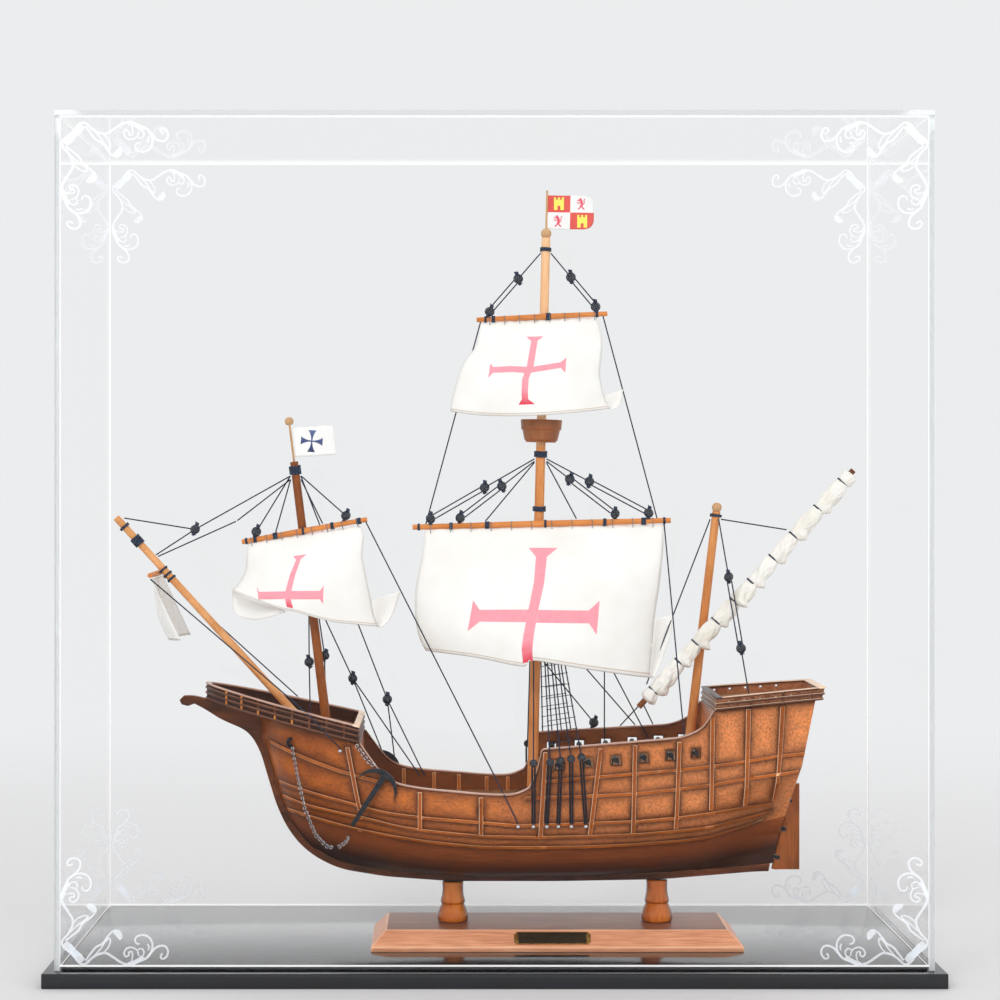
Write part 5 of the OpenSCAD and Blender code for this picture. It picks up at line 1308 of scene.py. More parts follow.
SPRIT_R = 3.4
YARD_WRAPS = {
    "main_yard": (5.6, [-0.95, -0.7, -0.42, 0.03, 0.49, 0.79, 0.95]),
    "top_yard": (5.0, [-0.86, -0.74, 0.1, 0.84]),
    "fore_yard": (5.0, [-0.92, -0.78, -0.46, -0.02, 0.44, 0.86]),
}
for node, (thickness, stops) in YARD_WRAPS.items():
    left, right = yard_ends(node, thickness)
    for number, stop in enumerate(stops):
        middle = left.lerp(right, (stop + 1) / 2)
        radius = thickness / 2 * (1 - 0.2 * abs(stop)) + 0.75
        coils.append(wind(f"{node}_{number}", middle, right - left, radius, 2.6 + number % 3, 0.8))
low, high = box_of("bowsprit")
tip = Vector((low.x, (low.y + high.y) / 2, high.z))
heel = Vector((high.x, tip.y, low.z))
for number, share in enumerate((0.262, 0.285, 0.305)):
    coils.append(wind(f"gammon_{number}", tip.lerp(heel, share), heel - tip, SPRIT_R + 0.9, 2.4, 0.8))
stand_in(joined("thread_lashings", coils), "lashings")
print("Coils wound:", len(coils))


# %% [markdown]
# ## Blocks, deadeyes and nails
# A block is a small turned wooden shell with a groove for its rope strop, painted blue-black. Each
# has the knotted tails of its thread. One block is modelled, and it is set at the middle of every
# CAD block, each turned a little differently.


# %% Shells, knots and nail heads
def wire_ring(middle, axes, long_r, wide_r, wire, steps):
    """An oval of round wire, in mm. Axes holds the ring's normal, short and long directions."""
    points, faces, sides = [], [], 6
    for i in range(steps):
        a = 2 * math.pi * i / steps
        run = axes[:, 2] * math.cos(a) * long_r + axes[:, 1] * math.sin(a) * wide_r
        out = axes[:, 2] * math.cos(a) + axes[:, 1] * math.sin(a)
        for j in range(sides):
            b = 2 * math.pi * j / sides
            points.append(middle + run + (out * math.cos(b) + axes[:, 0] * math.sin(b)) * wire / 2)
            c, d = (i + 1) % steps, (j + 1) % sides
            faces.append((i * sides + j, c * sides + j, c * sides + d, i * sides + d))
    return points, faces


def flat_ring(radius, wire):
    """A ring of thread about Z, in mm."""
    return wire_ring(np.zeros(3), np.eye(3)[:, ::-1], radius, radius, wire, 20)


def stub(start, end, width):
    """A thin tapered tail of thread between two points, in mm."""
    run = (end - start).normalized()
    side = run.orthogonal().normalized()
    other = run.cross(side)
    points = []
    for at, r in ((start, width / 2), (start.lerp(end, 0.6), width / 2), (end, width / 5)):
        turns = [k * math.pi * 0.4 for k in range(5)]
        points += [at + r * (side * math.cos(a) + other * math.sin(a)) for a in turns]
    return points, tube_faces(2, 5)


def pattern_piece(name, shapes, material):
    """Several shapes in one pattern object that the scatter tree copies."""
    return new_piece(name, *gathered(shapes, MM), [material])


def knot(at, size, seed):
    """A lump of knotted thread, in mm."""
    points, faces = spun([(0.15, -1), (0.7, -0.75), (1, 0), (0.7, 0.75), (0.15, 1)], 9)
    lumpy = [p * size * (1 + 0.35 * noise.noise(p * 1.7 + Vector((seed, 0, 0)))) + at for p in points]
    return lumpy, faces


def grooved_shell(radius):
    """A block's shell: a ball with flat cheeks and a groove round its edge."""
    profile = []
    for i in range(13):
        a = math.radians(-78 + 13 * i)
        groove = 0.13 * math.exp(-((i - 6) / 1.1) ** 2)
        profile.append((radius * (math.cos(a) ** 0.7) * (1 - groove), 0.8 * radius * math.sin(a)))
    return spun(profile, 18)


def at_places(name, pattern, places, seed, tilt, material):
    """Set a pattern at places in mm, each turned a little by a seeded amount."""
    draw = random.Random(seed)
    turns = []
    for _ in places:
        turns.append(
            (math.pi / 2 + draw.uniform(-tilt, tilt), draw.uniform(-tilt, tilt), draw.uniform(-tilt, tilt))
        )
    points = [Vector(p) * MM for p in places]
    piece = grow(scatter, name, points, turns, Shape=pattern, Size=1.0, Finish=material)
    bpy.data.objects.remove(pattern)
    return piece


block_places = [middle_of(c) for c in islands("blocks")]
BLOCK_R = 3.8
block_pattern = pattern_piece("block_pattern", [grooved_shell(BLOCK_R)], block_lacquer)
blocks = at_places("rigging_blocks", block_pattern, block_places, 3, 0.35, block_lacquer)
stand_in(blocks, "blocks")
strop_pattern = pattern_piece(
    "strop_pattern",
    [
        flat_ring(BLOCK_R - 0.1, 1.0),
        knot(Vector((0.2, BLOCK_R + 0.9, 0)), 1.9, 1),
        knot(Vector((-0.2, -BLOCK_R - 0.7, 0)), 1.5, 4),
        stub(Vector((0, BLOCK_R, 0)), Vector((-1.6, BLOCK_R + 3.2, 1.0)), 0.9),
        stub(Vector((0, BLOCK_R, 0)), Vector((1.5, BLOCK_R + 2.0, -0.9)), 0.9),
        stub(Vector((0.4, -BLOCK_R, 0)), Vector((2.6, -BLOCK_R - 1.2, 0.6)), 0.8),
    ],
    lashing_thread,
)
strops = at_places("block_strops", strop_pattern, block_places, 3, 0.35, lashing_thread)
seat(strops, "base")

eye_places = [middle_of(c) for c in islands("deadeyes")]
EYE_R = 3.0
eye_profile = [
    (0.2, -1.7), (1.9, -1.7), (2.5, -1.3), (2.75, -0.6), (2.55, 0), (2.75, 0.6), (2.5, 1.3), (1.9, 1.7),
    (1.5, 1.45), (0.7, 1.45), (0.2, 1.5),
]
eye_pattern = pattern_piece(
    "eye_pattern", [spun(eye_profile, 18), flat_ring(EYE_R - 0.1, 0.9)], block_lacquer,
)
deadeyes = at_places("dark_deadeyes", eye_pattern, eye_places, 5, 0.08, block_lacquer)
stand_in(deadeyes, "deadeyes")

nail_places = []
for corners in islands("hull_nails"):
    x, y, z = middle_of(corners)
    nail_places.append((x, corners[:, 1].min() + 0.3 if y < SHIP_Y else corners[:, 1].max() - 0.3, z))
head_profile = [(0.2, -1.5), (1.1, -1.3), (1.7, -0.6), (1.8, 0), (1.7, 0.6), (1.1, 1.3), (0.2, 1.5)]
head_pattern = pattern_piece("head_pattern", [spun(head_profile, 14)], steel)
seat(at_places("nail_heads", head_pattern, nail_places, 1, 0.0, steel), "base")
finish_node("hull_nails", steel)
for node in ("shrouds", "ratlines", "running_rigging"):
    finish_node(node, rigging_thread)
rounded_copy("anchors", 0.9, iron, iron, segments=3)
print("Blocks:", len(block_places), "deadeyes:", len(eye_places), "nails:", len(nail_places))

# %% [markdown]
# ## Chains and lanyards
# Each CAD link gives the place and the turn of a link of round wire. Every second link is dark
# iron, and the others are near-white: a painted glint. The lanyards are ropes of two strands laid
# round each other.

# %% Links and laid ropes
LINK_WIRE = 0.62
HAWSE_R = 2.2


def chain_of(node):
    """The links and the hawse rings of a chain, with a finish picked for each face."""
    rings, picks, links = [], [], 0
    for corners in islands(node):
        middle = middle_of(corners)
        axes = np.linalg.eigh(np.cov((corners - middle).T))[1]
        reach = [np.abs((corners - middle) @ axes[:, k]).max() for k in range(3)]
        hawse = reach[1] > HAWSE_R
        wire = max(LINK_WIRE, 2 * reach[0]) if hawse else LINK_WIRE
        wide = reach[1] - wire / 2 if hawse else max(0.75, 0.78 * reach[1] - wire / 2)
        rings.append(wire_ring(middle, axes, reach[2] - wire / 2, wide, wire, 24 if hawse else 14))
        links += not hawse
        # Every other link takes the painted glint; the others and the hawse rings are dark iron.
        picks += [int(hawse or links % 2)] * len(rings[-1][1])
    return *gathered(rings, MM), [chain_glint_iron, iron], picks


chains = new_piece("anchor_chains", *chain_of("anchor_cables"))
stand_in(chains, "anchor_cables")
LANYARD_R = 0.95
STRAND_TURN = 3.2
ROPE_STEP = 0.5
ROPE_SIDES = 12


def laid_rope(start, end, radius, turn):
    """A rope of two strands laid round each other between two points: its points and faces in mm."""
    run = end - start
    side = run.orthogonal().normalized()
    other = run.normalized().cross(side)
    rows, sides = max(2, int(run.length / ROPE_STEP)), ROPE_SIDES
    points = []
    for row in range(rows + 1):
        at = start + run * (row / rows)
        for k in range(sides):
            a = 2 * math.pi * k / sides
            swell = radius * (0.86 + 0.14 * math.cos(2 * (a - 2 * math.pi * run.length * row / rows / turn)))
            points.append(at + (side * math.cos(a) + other * math.sin(a)) * swell)
    return points, tube_faces(rows, sides)


ropes = []
for corners in islands("lanyards"):
    long_axis = np.linalg.eigh(np.cov(corners.T))[1][:, 2]
    along = (corners - corners.mean(0)) @ long_axis
    start, end = (Vector(corners.mean(0) + long_axis * reach) for reach in (along.min(), along.max()))
    ropes.append(laid_rope(start, end, LANYARD_R, STRAND_TURN))
lanyards = new_piece("laid_lanyards", *gathered(ropes, MM), [lanyard_thread])
stand_in(lanyards, "lanyards")
print("Chain faces:", len(chains.data.polygons), "lanyards:", len(ropes))


# %% [markdown]
# ## Cannons
# Each gun is a turned iron barrel with a flared muzzle and rings, on a small stepped carriage. The
# barrel is spun from a profile, laid on its side and set at each CAD gun.


# %% Barrels and carriages
CARRIAGE_STEPS = [(0, 0.35), (0.34, 0.62), (0.67, 1.0)]
STEP_FACES = [(0, 3, 2, 1), (4, 5, 6, 7), (0, 1, 5, 4), (1, 2, 6, 5), (2, 3, 7, 6), (3, 0, 4, 7)]


def gun(corners):
    """A barrel and its carriage in the space of one CAD gun, as points and faces in mm."""
    low, high = corners.min(0), corners.max(0)
    middle = (low[0] + high[0]) / 2
    front = (low[1] + high[1]) / 2 < SHIP_Y
    out = -1 if front else 1
    muzzle, inner = (low[1], high[1]) if front else (high[1], low[1])
    length = high[1] - low[1]
    profile = [
        (0.9, -3.0), (0.9, 0), (1.9, 0), (2.3, 0.5), (2.25, 1.2), (1.6, 2.2), (1.6, 4), (1.85, 4.2),
        (1.85, 4.8),
        (1.75, 5), (2.0, 0.7 * length), (2.25, 0.7 * length + 0.2), (2.25, 0.7 * length + 0.9),
        (2.05, length - 2.2),
        (1.9, length - 1.4), (0.7, length - 1.0), (0.8, length - 0.4), (0.3, length),
    ]
    points, faces = spun(profile, 18)
    barrel_z = high[2] - BARREL_R
    barrel = [Vector((middle + p.x, muzzle - out * p.z, barrel_z + p.y)) for p in points]
    shapes = [(barrel, [f[::-1] for f in faces] if front else faces)]
    foot = low[2] + 0.6
    for cheek in (-1, 1):
        for start, rise in CARRIAGE_STEPS:
            y0, y1 = inner + out * (1 + 7 * start), inner + out * (1 + 7 * (start + 0.34))
            x0, x1 = middle + cheek * 1.9, middle + cheek * 2.9
            top = foot + (barrel_z - low[2]) * rise * 0.95
            step = [(x, y, z) for z in (foot, top) for x, y in ((x0, y0), (x1, y0), (x1, y1), (x0, y1))]
            shapes.append((step, STEP_FACES if cheek * out > 0 else [f[::-1] for f in STEP_FACES]))
    return gathered(shapes)


guns = new_piece("iron_guns", *gathered([gun(corners) for corners in islands("cannons")], MM), [iron])
reworked(guns, outward)
smoothed(guns, 40)
stand_in(guns, "cannons")


# %% [markdown]
# ## Sails
# A square sail hangs from its yard and its foot is drawn back, so it bellies forward. Each sail
# is a grid between four edges: the head along the yard, two leeches and the foot. The belly pushes
# the middle forward. Where a corner has rolled over, a second small grid carries on from the
# leech. The cloth gets its thickness at the end.


# %% Sail grids
def edge_line(knots):
    """A function that gives the point at a share of the way along an edge, in mm."""
    line = smooth_line(knots, 60)
    lengths = np.concatenate([[0], np.cumsum([math.dist(p, q) for p, q in zip(line, line[1:])])])
    xs, zs = [p[0] for p in line], [p[1] for p in line]
    return lambda f: np.array(
        [np.interp(f * lengths[-1], lengths, xs), np.interp(f * lengths[-1], lengths, zs)]
    )


def bellied(s, t):
    """The share of a sail's belly at a point: none at the yard and the leeches."""
    return math.sin(math.radians(112) * t) * max(0.0, 1 - (2 * s - 1) ** 2) ** 0.8


def sail_surface(head, foot, left, right, depth, lean, push):
    """A function from (across, down) shares to a point of the sail in mm."""
    head, foot, left, right = (edge_line(k) for k in (head, foot, left, right))

    def at(s, t):
        flat = (1 - t) * head(s) + t * foot(s) + (1 - s) * left(t) + s * right(t)
        flat = flat - (
            (1 - s) * (1 - t) * head(0) + s * (1 - t) * head(1) + (1 - s) * t * foot(0) + s * t * foot(1)
        )
        ripple = 0.9 * noise.noise(Vector((s * 3.1, t * 2.3, push))) * min(1, 4 * t)
        pucker = 0.5 * math.sin(s * 2 * math.pi * 11) * math.exp(-t * 9)
        return Vector((flat[0], depth + lean * t + push * bellied(s, t) + ripple + pucker, flat[1]))

    return at


def grid_of(at, across, down):
    """Points, faces and UVs of a grid over a surface."""
    shares = [(i / across, j / down) for j in range(down + 1) for i in range(across + 1)]
    return [at(s, t) for s, t in shares], grid_faces(across, down), [(s, 1 - t) for s, t in shares]


def strip_between(inner, outer, bulge, across=10, down=26):
    """A grid from one 3D line in mm to another, bent by a bulge along Y."""
    first, second = smooth_line(inner, down + 1), smooth_line(outer, down + 1)
    points, laid = [], []
    for j in range(down + 1):
        for i in range(across + 1):
            f = i / across
            point = Vector(first[j]).lerp(Vector(second[j]), f)
            point.y += bulge * math.sin(math.pi * f)
            points.append(point)
            laid.append((0.9 + 0.1 * f, 0.5 - 0.4 * j / down))
    return points, grid_faces(across, down), laid


def lay_uvs(piece, laid):
    """Give a piece its cloth map, from one place for each point."""
    layer = piece.data.uv_layers.new(name="cloth")
    for loop in piece.data.loops:
        layer.data[loop.index].uv = laid[loop.vertex_index]


def cloth_piece(name, grids, material, thickness=0.5):
    """Join grids into one sheet with its own UV map, and give the cloth its thickness."""
    piece = new_piece(name, *gathered([grid[:2] for grid in grids], MM), [material])
    lay_uvs(piece, [place for grid in grids for place in grid[2]])
    reworked(piece, lambda bm: bmesh.ops.remove_doubles(bm, verts=bm.verts, dist=0.05 * MM))
    wall = piece.modifiers.new("cloth", "SOLIDIFY")
    wall.thickness = thickness * MM
    wall.offset = 0
    plain_mesh(piece)
    piece.data.shade_smooth()
    return piece


SAILS = {
    "main": {
        "head": [(-56.4, 362.6), (0, 363.3), (60, 364.6), (144.0, 366.0)],
        "left": [
            (-56.4, 362.6), (-58.7, 339.9), (-64.1, 312.0), (-64.1, 287.2), (-61.0, 271.7), (-55.6, 260.6),
        ],
        "right": [
            (144.0, 366.0), (143.5, 346.1), (140.4, 316.7), (135.8, 287.2), (133.5, 262.4), (131.0, 238.0),
        ],
        "foot": [
            (-55.6, 260.6), (-15.6, 256.9), (18.0, 250.6), (27, 250.2), (33.2, 254.6), (75.9, 247.4),
            (131.0, 238.0),
        ],
        "depth": -35.6, "lean": -12, "push": -38,
    },
    "top": {
        "head": [(-9.2, 535.7), (40, 537.8), (87.6, 539.8)],
        "left": [
            (-9.2, 535.7), (-13.3, 516.6), (-23.9, 501.3), (-30.4, 483.6), (-34.6, 467.2), (-34.6, 460.6),
        ],
        "right": [
            (87.6, 539.8), (92.1, 524.8), (92.1, 510.7), (90.4, 493.0), (92.1, 481.3), (94.5, 471.9),
            (98.6, 463.3),
        ],
        "foot": [(-34.6, 460.6), (-8.8, 457.0), (23.9, 456.3), (53.1, 457.8), (82.4, 460.8), (98.6, 463.3)],
        "depth": -34.6, "lean": -6, "push": -20,
    },
    "fore": {
        "head": [(-205.5, 349.8), (-160, 357.4), (-111.2, 365.0)],
        "left": [(-205.5, 349.8), (-205.9, 339.4), (-207.0, 326.5), (-212.4, 316.9), (-217.7, 310.4)],
        "right": [
            (-111.2, 365.0), (-107.9, 356.5), (-109.0, 339.4), (-105.8, 322.2), (-102.1, 305.1),
            (-99.4, 291.2), (-95.6, 280.6),
        ],
        "foot": [
            (-217.7, 310.4), (-199.2, 304.2), (-184.4, 299.0), (-171.6, 295.2), (-163.1, 294.1),
            (-146.2, 288.9), (-130.2, 285.1), (-110.0, 282.6), (-95.6, 280.6),
        ],
        "depth": -34.8, "lean": -10, "push": -24,
    },
}
surfaces = {name: sail_surface(**shape) for name, shape in SAILS.items()}


def leech(name, shares, back):
    """Points down a sail's right-hand edge, for a flap to carry on from."""
    return [tuple(surfaces[name](1, t) + Vector((0, back, 0))) for t in shares]


def with_depth(line, depths):
    """A 2D outline in mm as 3D points at given depths."""
    return [(x, y, z) for (x, z), y in zip(line, depths)]


main_flap = strip_between(
    leech("main", (0.62, 0.7, 0.8, 0.9, 1.0), 0.0),
    with_depth(
        [(152.4, 290.1), (150.4, 274.5), (146.5, 262.0), (142.1, 250.9), (135.7, 237.2)],
        [-36, -35, -36, -37, -42],
    ),
    2.5,
)
top_flap = strip_between(
    leech("top", (0.85, 0.9, 0.95, 1.0), 0.0),
    with_depth([(110.4, 479.5), (109.0, 470.5), (105.5, 464.5), (99.8, 462.4)], [-33, -33, -35, -39]), 2.0,
)
fore_flap = strip_between(
    leech("fore", (0.74, 0.8, 0.88, 0.95, 1.0), 0.0),
    with_depth(
        [(-77.4, 309.4), (-80.0, 299.5), (-83.5, 290.4), (-88.0, 283.4), (-94.0, 279.6)],
        [-32, -32, -34, -37, -42],
    ),
    3.0,
)
fore_under = strip_between(
    [tuple(surfaces["fore"](s, 1.0) + Vector((0, 0.2, 0))) for s in (0, 0.12, 0.24, 0.36)],
    with_depth([(-218.2, 306.0), (-215.5, 291.0), (-198.0, 286.2), (-172.0, 293.4)], [-41, -40, -44, -60]),
    5.0,
)
main_sail = cloth_piece("main_sail_cloth", [grid_of(surfaces["main"], 64, 44), main_flap], main_cloth)
top_sail = cloth_piece("top_sail_cloth", [grid_of(surfaces["top"], 48, 34), top_flap], main_cloth)
fore_sail = cloth_piece(
    "fore_sail_cloth", [grid_of(surfaces["fore"], 48, 34), fore_flap, fore_under], main_cloth,
)
for piece, node in ((main_sail, "main_sail"), (top_sail, "top_sail"), (fore_sail, "fore_sail")):
    stand_in(piece, node)

# %% [markdown]
# The spritsail hangs under the bowsprit, across the ship, so from the front it is seen edge on. It
# follows the same rule with its width along Y, and its foot is rolled back.

# %% Spritsail
sprit_low, sprit_high = box_of("sprit_sail")
SPRIT_HEAD_X = -282.4
SPRIT_DROP = 50.8


def sprit_at(s, t):
    """A point of the spritsail: s runs from the front of the case to the back."""
    y = sprit_low.y + (sprit_high.y - sprit_low.y) * (0.5 + (s - 0.5) * (1 - 0.06 * t))
    x = SPRIT_HEAD_X + 24 * t - 14 * bellied(s, t)
    z = sprit_high.z - 0.4 - SPRIT_DROP * t - 1.2 * math.sin(math.pi * s) * t
    ripple = 0.8 * noise.noise(Vector((s * 4, t * 3, 5)))
    return Vector((x + ripple, y, z))


sprit_sail = cloth_piece("sprit_sail_cloth", [grid_of(sprit_at, 36, 26)], main_cloth)
stand_in(sprit_sail, "sprit_sail")


# %% [markdown]
# ## Crosses
# The plain red crosses with flared ends are a traditional sail mark. They are pale pink on the
# face of each sail and deepen to red at the foot, where the cloth turns under: painted shade. Each
# cross is a thin film that is laid on the cloth: a grid in the plane of the front, dropped straight
# onto the sail.


# %% Painted crosses
CLOTH_Y = -0.06
FILM_ACROSS = 4
FILM_STEP = 2.0


def laid_film(name, cloth, patches, material, strong_below, strong_above, facing=-1, lift=0.12):
    """Drop flat grids along Y onto cloth. A patch is a list of rows, each a pair of (x, z) ends."""
    mesh = cloth.data
    target = BVHTree.FromPolygons(
        [v.co.copy() for v in mesh.vertices], [tuple(f.vertices) for f in mesh.polygons],
    )
    shapes = []
    for rows in patches:
        dense = []
        for (a, b), (c, d) in zip(rows, rows[1:]):
            steps = max(1, round(math.dist(a, c) / FILM_STEP))
            for k in range(steps):
                dense.append((Vector(a).lerp(Vector(c), k / steps), Vector(b).lerp(Vector(d), k / steps)))
        dense.append((Vector(rows[-1][0]), Vector(rows[-1][1])))
        film = []
        for a, b in dense:
            for k in range(FILM_ACROSS + 1):
                flat = a.lerp(b, k / FILM_ACROSS)
                ray = Vector((flat.x, 400 * facing, flat.y)) * MM
                hit = target.ray_cast(ray, Vector((0, -facing, 0)))[0]
                if hit is None:
                    hit = target.find_nearest(Vector((flat.x * MM, CLOTH_Y, flat.y * MM)))[0]
                film.append(hit + Vector((0, facing * lift * MM, 0)))
        shapes.append((film, [(a, d, c, b) for a, b, c, d in grid_faces(FILM_ACROSS, len(dense) - 1)]))
    piece = new_piece(name, *gathered(shapes), [material])

    def face_out(bm):
        for face in bm.faces:
            if face.normal.y * facing < 0:
                face.normal_flip()

    reworked(piece, face_out)
    # Painted shade: the paint deepens from strong_above down to strong_below.
    layer = piece.data.attributes.new("foot_shade", "FLOAT", "POINT")
    span = strong_above - strong_below
    strength = [max(0.0, min(1.0, (strong_above - v.co.z / MM) / span)) for v in piece.data.vertices]
    layer.data.foreach_set("value", strength)
    return piece


MAIN_CROSS = [
    [
        ((30.3, 346.5), (54.5, 346.5)), ((36.1, 339.2), (45.3, 339.2)), ((34.0, 318), (42.5, 318)),
        ((29.1, 296.4), (37.2, 296.4)), ((25.0, 276), (33.4, 276)), ((23.4, 264.2), (32.1, 264.2)),
        ((24.6, 252.5), (32.6, 254.6)),
    ],
    [((-20.9, 278.3), (-16.3, 303.7)), ((-11.0, 286.4), (-11.0, 296.0)), ((27.2, 286.2), (29.1, 296.4))],
    [((35.4, 285.8), (37.3, 296.2)), ((79.2, 284.9), (79.2, 295.3)), ((85.6, 275.4), (88.4, 303.2))],
]
TOP_CROSS = [
    [
        ((28.5, 523.2), (43.0, 523.5)), ((32.5, 519.4), (37.9, 519.7)), ((28.7, 498.4), (34.3, 498.4)),
        ((24.6, 487), (30, 487)), ((24.0, 476.0), (29.3, 476.0)), ((24.3, 470.2), (29.5, 470.2)),
        ((21.5, 465.6), (35.2, 466.1)),
    ],
    [
        ((-3.5, 488.4), (-1.7, 500.7)), ((0.6, 492.5), (0.6, 497.4)), ((15.9, 493.0), (15.9, 498.1)),
        ((26.6, 492.2), (28.5, 497.4)),
    ],
    [((31.9, 492.4), (34.1, 497.6)), ((56.8, 496.6), (56.8, 501.3)), ((60.6, 492.5), (61.8, 505.4))],
]
FORE_CROSS = [
    [
        ((-166.3, 339.7), (-155.0, 341.1)), ((-163.8, 336.5), (-159.9, 337.1)),
        ((-168.5, 324), (-164.0, 324)),
        ((-171.6, 311.5), (-166.8, 311.5)), ((-172.0, 304.1), (-167.2, 304.1)),
        ((-170.5, 298.0), (-165.4, 297.0)),
    ],
    [
        ((-193.9, 300.9), (-196.0, 315.1)), ((-194.2, 304.1), (-194.2, 310.2)),
        ((-171.9, 304.6), (-171.6, 310.9)),
    ],
    [
        ((-167.1, 304.4), (-166.8, 311.2)), ((-143.1, 304.4), (-143.1, 311.2)),
        ((-140.6, 300.4), (-140.2, 315.8)),
    ],
]
main_cross = laid_film("main_sail_cross", main_sail, MAIN_CROSS, cross_red, 252, 272)
top_cross = laid_film("top_sail_cross", top_sail, TOP_CROSS, cross_red, 466, 480)
fore_cross = laid_film("fore_sail_cross", fore_sail, FORE_CROSS, cross_red, 297, 306)
for piece in (main_cross, top_cross, fore_cross):
    seat(piece, "base")

# %% [markdown]
# ## Lacing
# Short loops of thread tie the head of each sail to its yard. They are a row of rings, so the
# lacing tree makes them from a start, a step and a count.


# %% Lace the sails to their yards
LACE_DROP = 1.4


def lace(node, thickness, shares, count):
    """A row of thread loops round a yard, from one share of its length to another."""
    left, right = yard_ends(node, thickness)
    start, end = left.lerp(right, shares[0]), left.lerp(right, shares[1])
    start.z -= LACE_DROP
    end.z -= LACE_DROP
    run = (right - left).normalized()
    turn = Vector((0, 0, 1)).rotation_difference(run).to_euler()
    return grow(
        lacing, node + "_loops", Count=count, Start=tuple(start * MM),
        Step=tuple((end - start) / (count - 1) * MM),
        Loop=(thickness / 2 + 1.3) * MM, Thread=0.28 * MM, Turn=tuple(turn), Finish=lacing_thread,
    )


laces = [
    lace("main_yard", 5.6, (0.07, 0.93), 12),
    lace("top_yard", 5.0, (0.1, 0.9), 8),
    lace("fore_yard", 5.0, (0.08, 0.92), 8),
]
seat(joined("sail_lacing", laces), "base")


# %% [markdown]
# ## The furled lateen
# The long lateen sail is rolled up on its yard and tied with ten gaskets. Cloth swells between the
# ties and gathers in long folds, with small ears where an edge sticks out. Its radius is set at
# every point from the place between two ties and from noise.

# %% Furled sail
GASKETS = [6.5, 18.5, 26.4, 35.6, 44.1, 52.2, 62.2, 71.8, 83.2, 94.4]
lateen_low, lateen_high = box_of("lateen_yard")
LATEEN_TILT = math.radians(47.8)
lateen_run = Vector((math.cos(LATEEN_TILT), 0, math.sin(LATEEN_TILT)))
lateen_up = Vector((-math.sin(LATEEN_TILT), 0, math.cos(LATEEN_TILT)))
YARD_R = 2.5
lateen_start = Vector(
    (
        lateen_low.x + YARD_R * math.sin(LATEEN_TILT), (lateen_low.y + lateen_high.y) / 2,
        lateen_low.z + YARD_R * math.cos(LATEEN_TILT),
    )
)
LATEEN_L = 268
ties = [g / 100 * LATEEN_L + 1.1 for g in GASKETS]
EAR_SIZES = (2.4, 4.6, 3.2, 5.2, 4.0, 5.4, 4.6, 3.0, 3.6, 2.6, 1.4)


def furl_point(along, angle):
    """A point on the furled sail: along the yard in mm, and round it in radians."""
    number = sum(t <= along for t in ties)
    before = ties[number - 1] if number else ties[0] - 24
    after = ties[number] if number < len(ties) else ties[-1] + 16
    share = (along - before) / (after - before)
    swell = max(0.0, math.sin(math.pi * share)) ** 0.4
    twist = angle + along * 0.07 + number
    folds = noise.noise(Vector((1.6 * math.cos(twist), 1.6 * math.sin(twist), along * 0.03 + number)))
    crease = abs(noise.noise(Vector((2.2 * math.cos(angle), 2.2 * math.sin(angle), along * 0.11 + 9))))
    seam = abs(math.sin(angle * 1.5 + along * 0.16 + number * 1.7)) ** 0.6
    size = EAR_SIZES[number]
    down = math.radians(-100 + 26 * math.sin(number * 2.1))
    ear = max(0.0, math.cos(angle - down)) ** 3 * max(0.0, 1 - abs(share - 0.15) / 0.16) ** 0.7 * size
    radius = 4.6 + swell * (1.9 + 2.0 * folds - 1.6 * crease + 0.7 * seam) + ear
    end = min(along - 8, LATEEN_L - 3.5 - along)
    radius = max(YARD_R + 0.4, min(radius, YARD_R + 1.6 + 1.4 * max(0.0, end)))
    sag = Vector((0.9, 0, -0.9)) * swell
    out = Vector((0, math.cos(angle), 0)) + lateen_up * math.sin(angle)
    return lateen_start + lateen_run * along + out * radius + sag


FURL_GRID = (300, 56)


def furl():
    """The furled sail as one closed tube."""
    rows, around = FURL_GRID
    points, laid = [], []
    for j in range(rows + 1):
        along = 8 + (LATEEN_L - 11.5) * j / rows
        points += [furl_point(along, 2 * math.pi * i / around) * MM for i in range(around)]
        laid += [(j / rows, i / around) for i in range(around)]
    piece = new_piece("lateen_furl", points, tube_faces(rows, around), [furl_cloth])
    lay_uvs(piece, laid)
    reworked(piece, outward)
    return piece


lateen_furl = stand_in(furl(), "lateen_furled")

# %% [markdown]
# ## Flags
# Both flags are small stiff prints that stand almost flat from their staffs. The main flag is
# quartered red and white with plain towers and beasts, an old pattern. The fore flag is white with
# one dark cross. The small figures are thin films on both faces.

# %% Flag cloth
FLAG_L, FLAG_H, FLY_ROUND = 40.0, 28.4, 8.0
HOIST_X, HOIST_Z = 46.3, 643.3
SAG = 0.6


def flag_wave(x, z):
    """How far the flag stands out along Y at a point, in mm."""
    return SHIP_Y + 0.8 * math.sin((x - 46) * 0.16) * min(1, max(0, (x - 46) / 10)) + 0.2 * math.sin(z * 0.3)


def main_flag_cloth(across=20, down=28):
    """The main flag's grid, with a rounded fly."""
    points, laid = [], []
    for j in range(down + 1):
        t = j / down
        off = max(0.0, abs(t - 0.5) * FLAG_H - (FLAG_H / 2 - FLY_ROUND)) / FLY_ROUND
        length = FLAG_L - FLY_ROUND * (1 - math.sqrt(max(0.0, 1 - off**2)))
        for i in range(across + 1):
            half = across // 2
            x = FLAG_L / 2 * i / half if i <= half else FLAG_L / 2 + (length - FLAG_L / 2) * (i - half) / half
            at_x = HOIST_X + x - SAG * t
            at_z = HOIST_Z - FLAG_H * t - SAG * x / FLAG_L
            points.append(Vector((at_x, flag_wave(at_x, at_z), at_z)))
            laid.append((x / FLAG_L, 1 - t))
    return points, grid_faces(across, down), laid


FORE_FLAG = [Vector(v) for v in ((-169.0, 447.4), (-134.0, 449.4), (-131.0, 424.6), (-166.0, 422.4))]


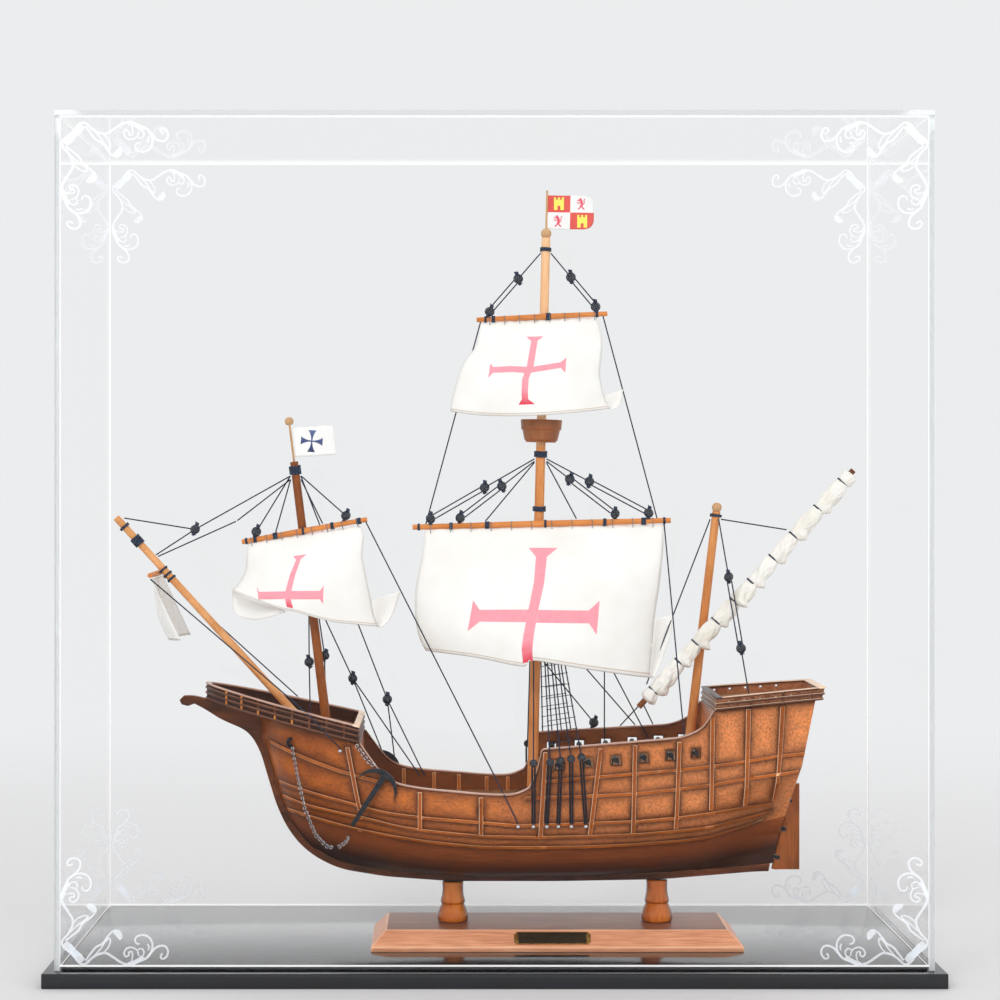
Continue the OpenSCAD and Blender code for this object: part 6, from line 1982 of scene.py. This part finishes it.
def fore_flag_at(s, t):
    """A point of the small white flag, which leans with its mast."""
    flat = FORE_FLAG[0].lerp(FORE_FLAG[1], s).lerp(FORE_FLAG[3].lerp(FORE_FLAG[2], s), t)
    return Vector((flat.x, SHIP_Y + 0.9 * math.sin(s * 4.2) * min(1, 3 * s), flat.y))


main_flag = cloth_piece("main_flag_cloth", [main_flag_cloth()], flag_white, 0.25)
main_flag.data.materials.append(flag_red)
for face in main_flag.data.polygons:
    x, _, z = face.center / MM
    left = x - HOIST_X + SAG * (HOIST_Z - z) / FLAG_H < FLAG_L / 2
    upper = HOIST_Z - z - SAG * (x - HOIST_X) / FLAG_L < FLAG_H / 2
    face.material_index = 1 if left == upper else 0
fore_flag = cloth_piece("fore_flag_cloth", [grid_of(fore_flag_at, 20, 14)], flag_white, 0.25)
stand_in(main_flag, "main_flag")
stand_in(fore_flag, "fore_flag")


# %% Figures on the flags
def tower(x, z):
    """A plain tower with three merlons, as patches of rows from the bottom up."""
    blocks = [(-4.2, -1.2, -5.2, 3.4), (1.2, 4.2, -5.2, 3.4), (-1.2, 1.2, -1.6, 3.4)]
    blocks += [(k - 0.9, k + 0.9, 3.4, 5.4) for k in (-3.3, 0, 3.3)]
    return [[((x + a, z + c), (x + b, z + c)), ((x + a, z + d), (x + b, z + d))] for a, b, c, d in blocks]


def beast(x, z):
    """A small rearing beast in a few strokes: body, legs, head and tail."""
    strokes = [
        ([(x - 1.0, z + 4.6), (x + 0.6, z + 1.5), (x + 0.8, z - 1.0), (x - 0.6, z - 2.2)], 2.2),
        ([(x + 0.4, z + 2.4), (x - 2.0, z + 2.6), (x - 3.2, z + 3.4)], 0.9),
        ([(x + 0.4, z + 1.0), (x - 2.0, z + 0.6), (x - 3.4, z + 1.2)], 0.9),
        ([(x + 0.4, z - 1.6), (x + 1.6, z - 3.6), (x + 2.8, z - 4.8)], 1.1),
        ([(x - 0.2, z - 2.0), (x - 1.4, z - 3.8), (x - 2.6, z - 4.4)], 1.1),
        ([(x + 1.0, z - 0.8), (x + 2.8, z + 0.4), (x + 2.6, z + 3.0), (x + 3.6, z + 4.2)], 0.7),
    ]
    return [both_sides(smooth_line(knots, 8), [width] * 8) for knots, width in strokes]


def flared_cross(x, z, reach, lean):
    """Four arms that widen outwards from a narrow middle."""
    patches = []
    for k in range(4):
        run = Vector((math.cos(math.radians(90 * k + lean)), math.sin(math.radians(90 * k + lean))))
        side = Vector((-run.y, run.x))
        rows = []
        for f in (0, 0.3, 0.55, 0.8, 1.0):
            half = 0.5 + 2.9 * f**2.2
            at = Vector((x, z)) + run * reach * f
            rows.append((tuple(at + side * half), tuple(at - side * half)))
        patches.append(rows)
    return patches


figures = []
for face, label in ((-1, "front"), (1, "back")):
    towers = tower(56.5, 636.2) + tower(76.0, 621.2)
    beasts = beast(75.0, 636.0) + beast(55.5, 621.6)
    cross = flared_cross(-152.0, 436.0, 9.2, -4)
    figures += [
        laid_film(f"flag_towers_{label}", main_flag, towers, tower_yellow, 600, 601, face, 0.06),
        laid_film(f"flag_beasts_{label}", main_flag, beasts, beast_red, 600, 700, face, 0.06),
        laid_film(f"flag_cross_{label}", fore_flag, cross, flag_navy, 425, 447, face, 0.06),
    ]
for piece in figures:
    seat(piece, "base")
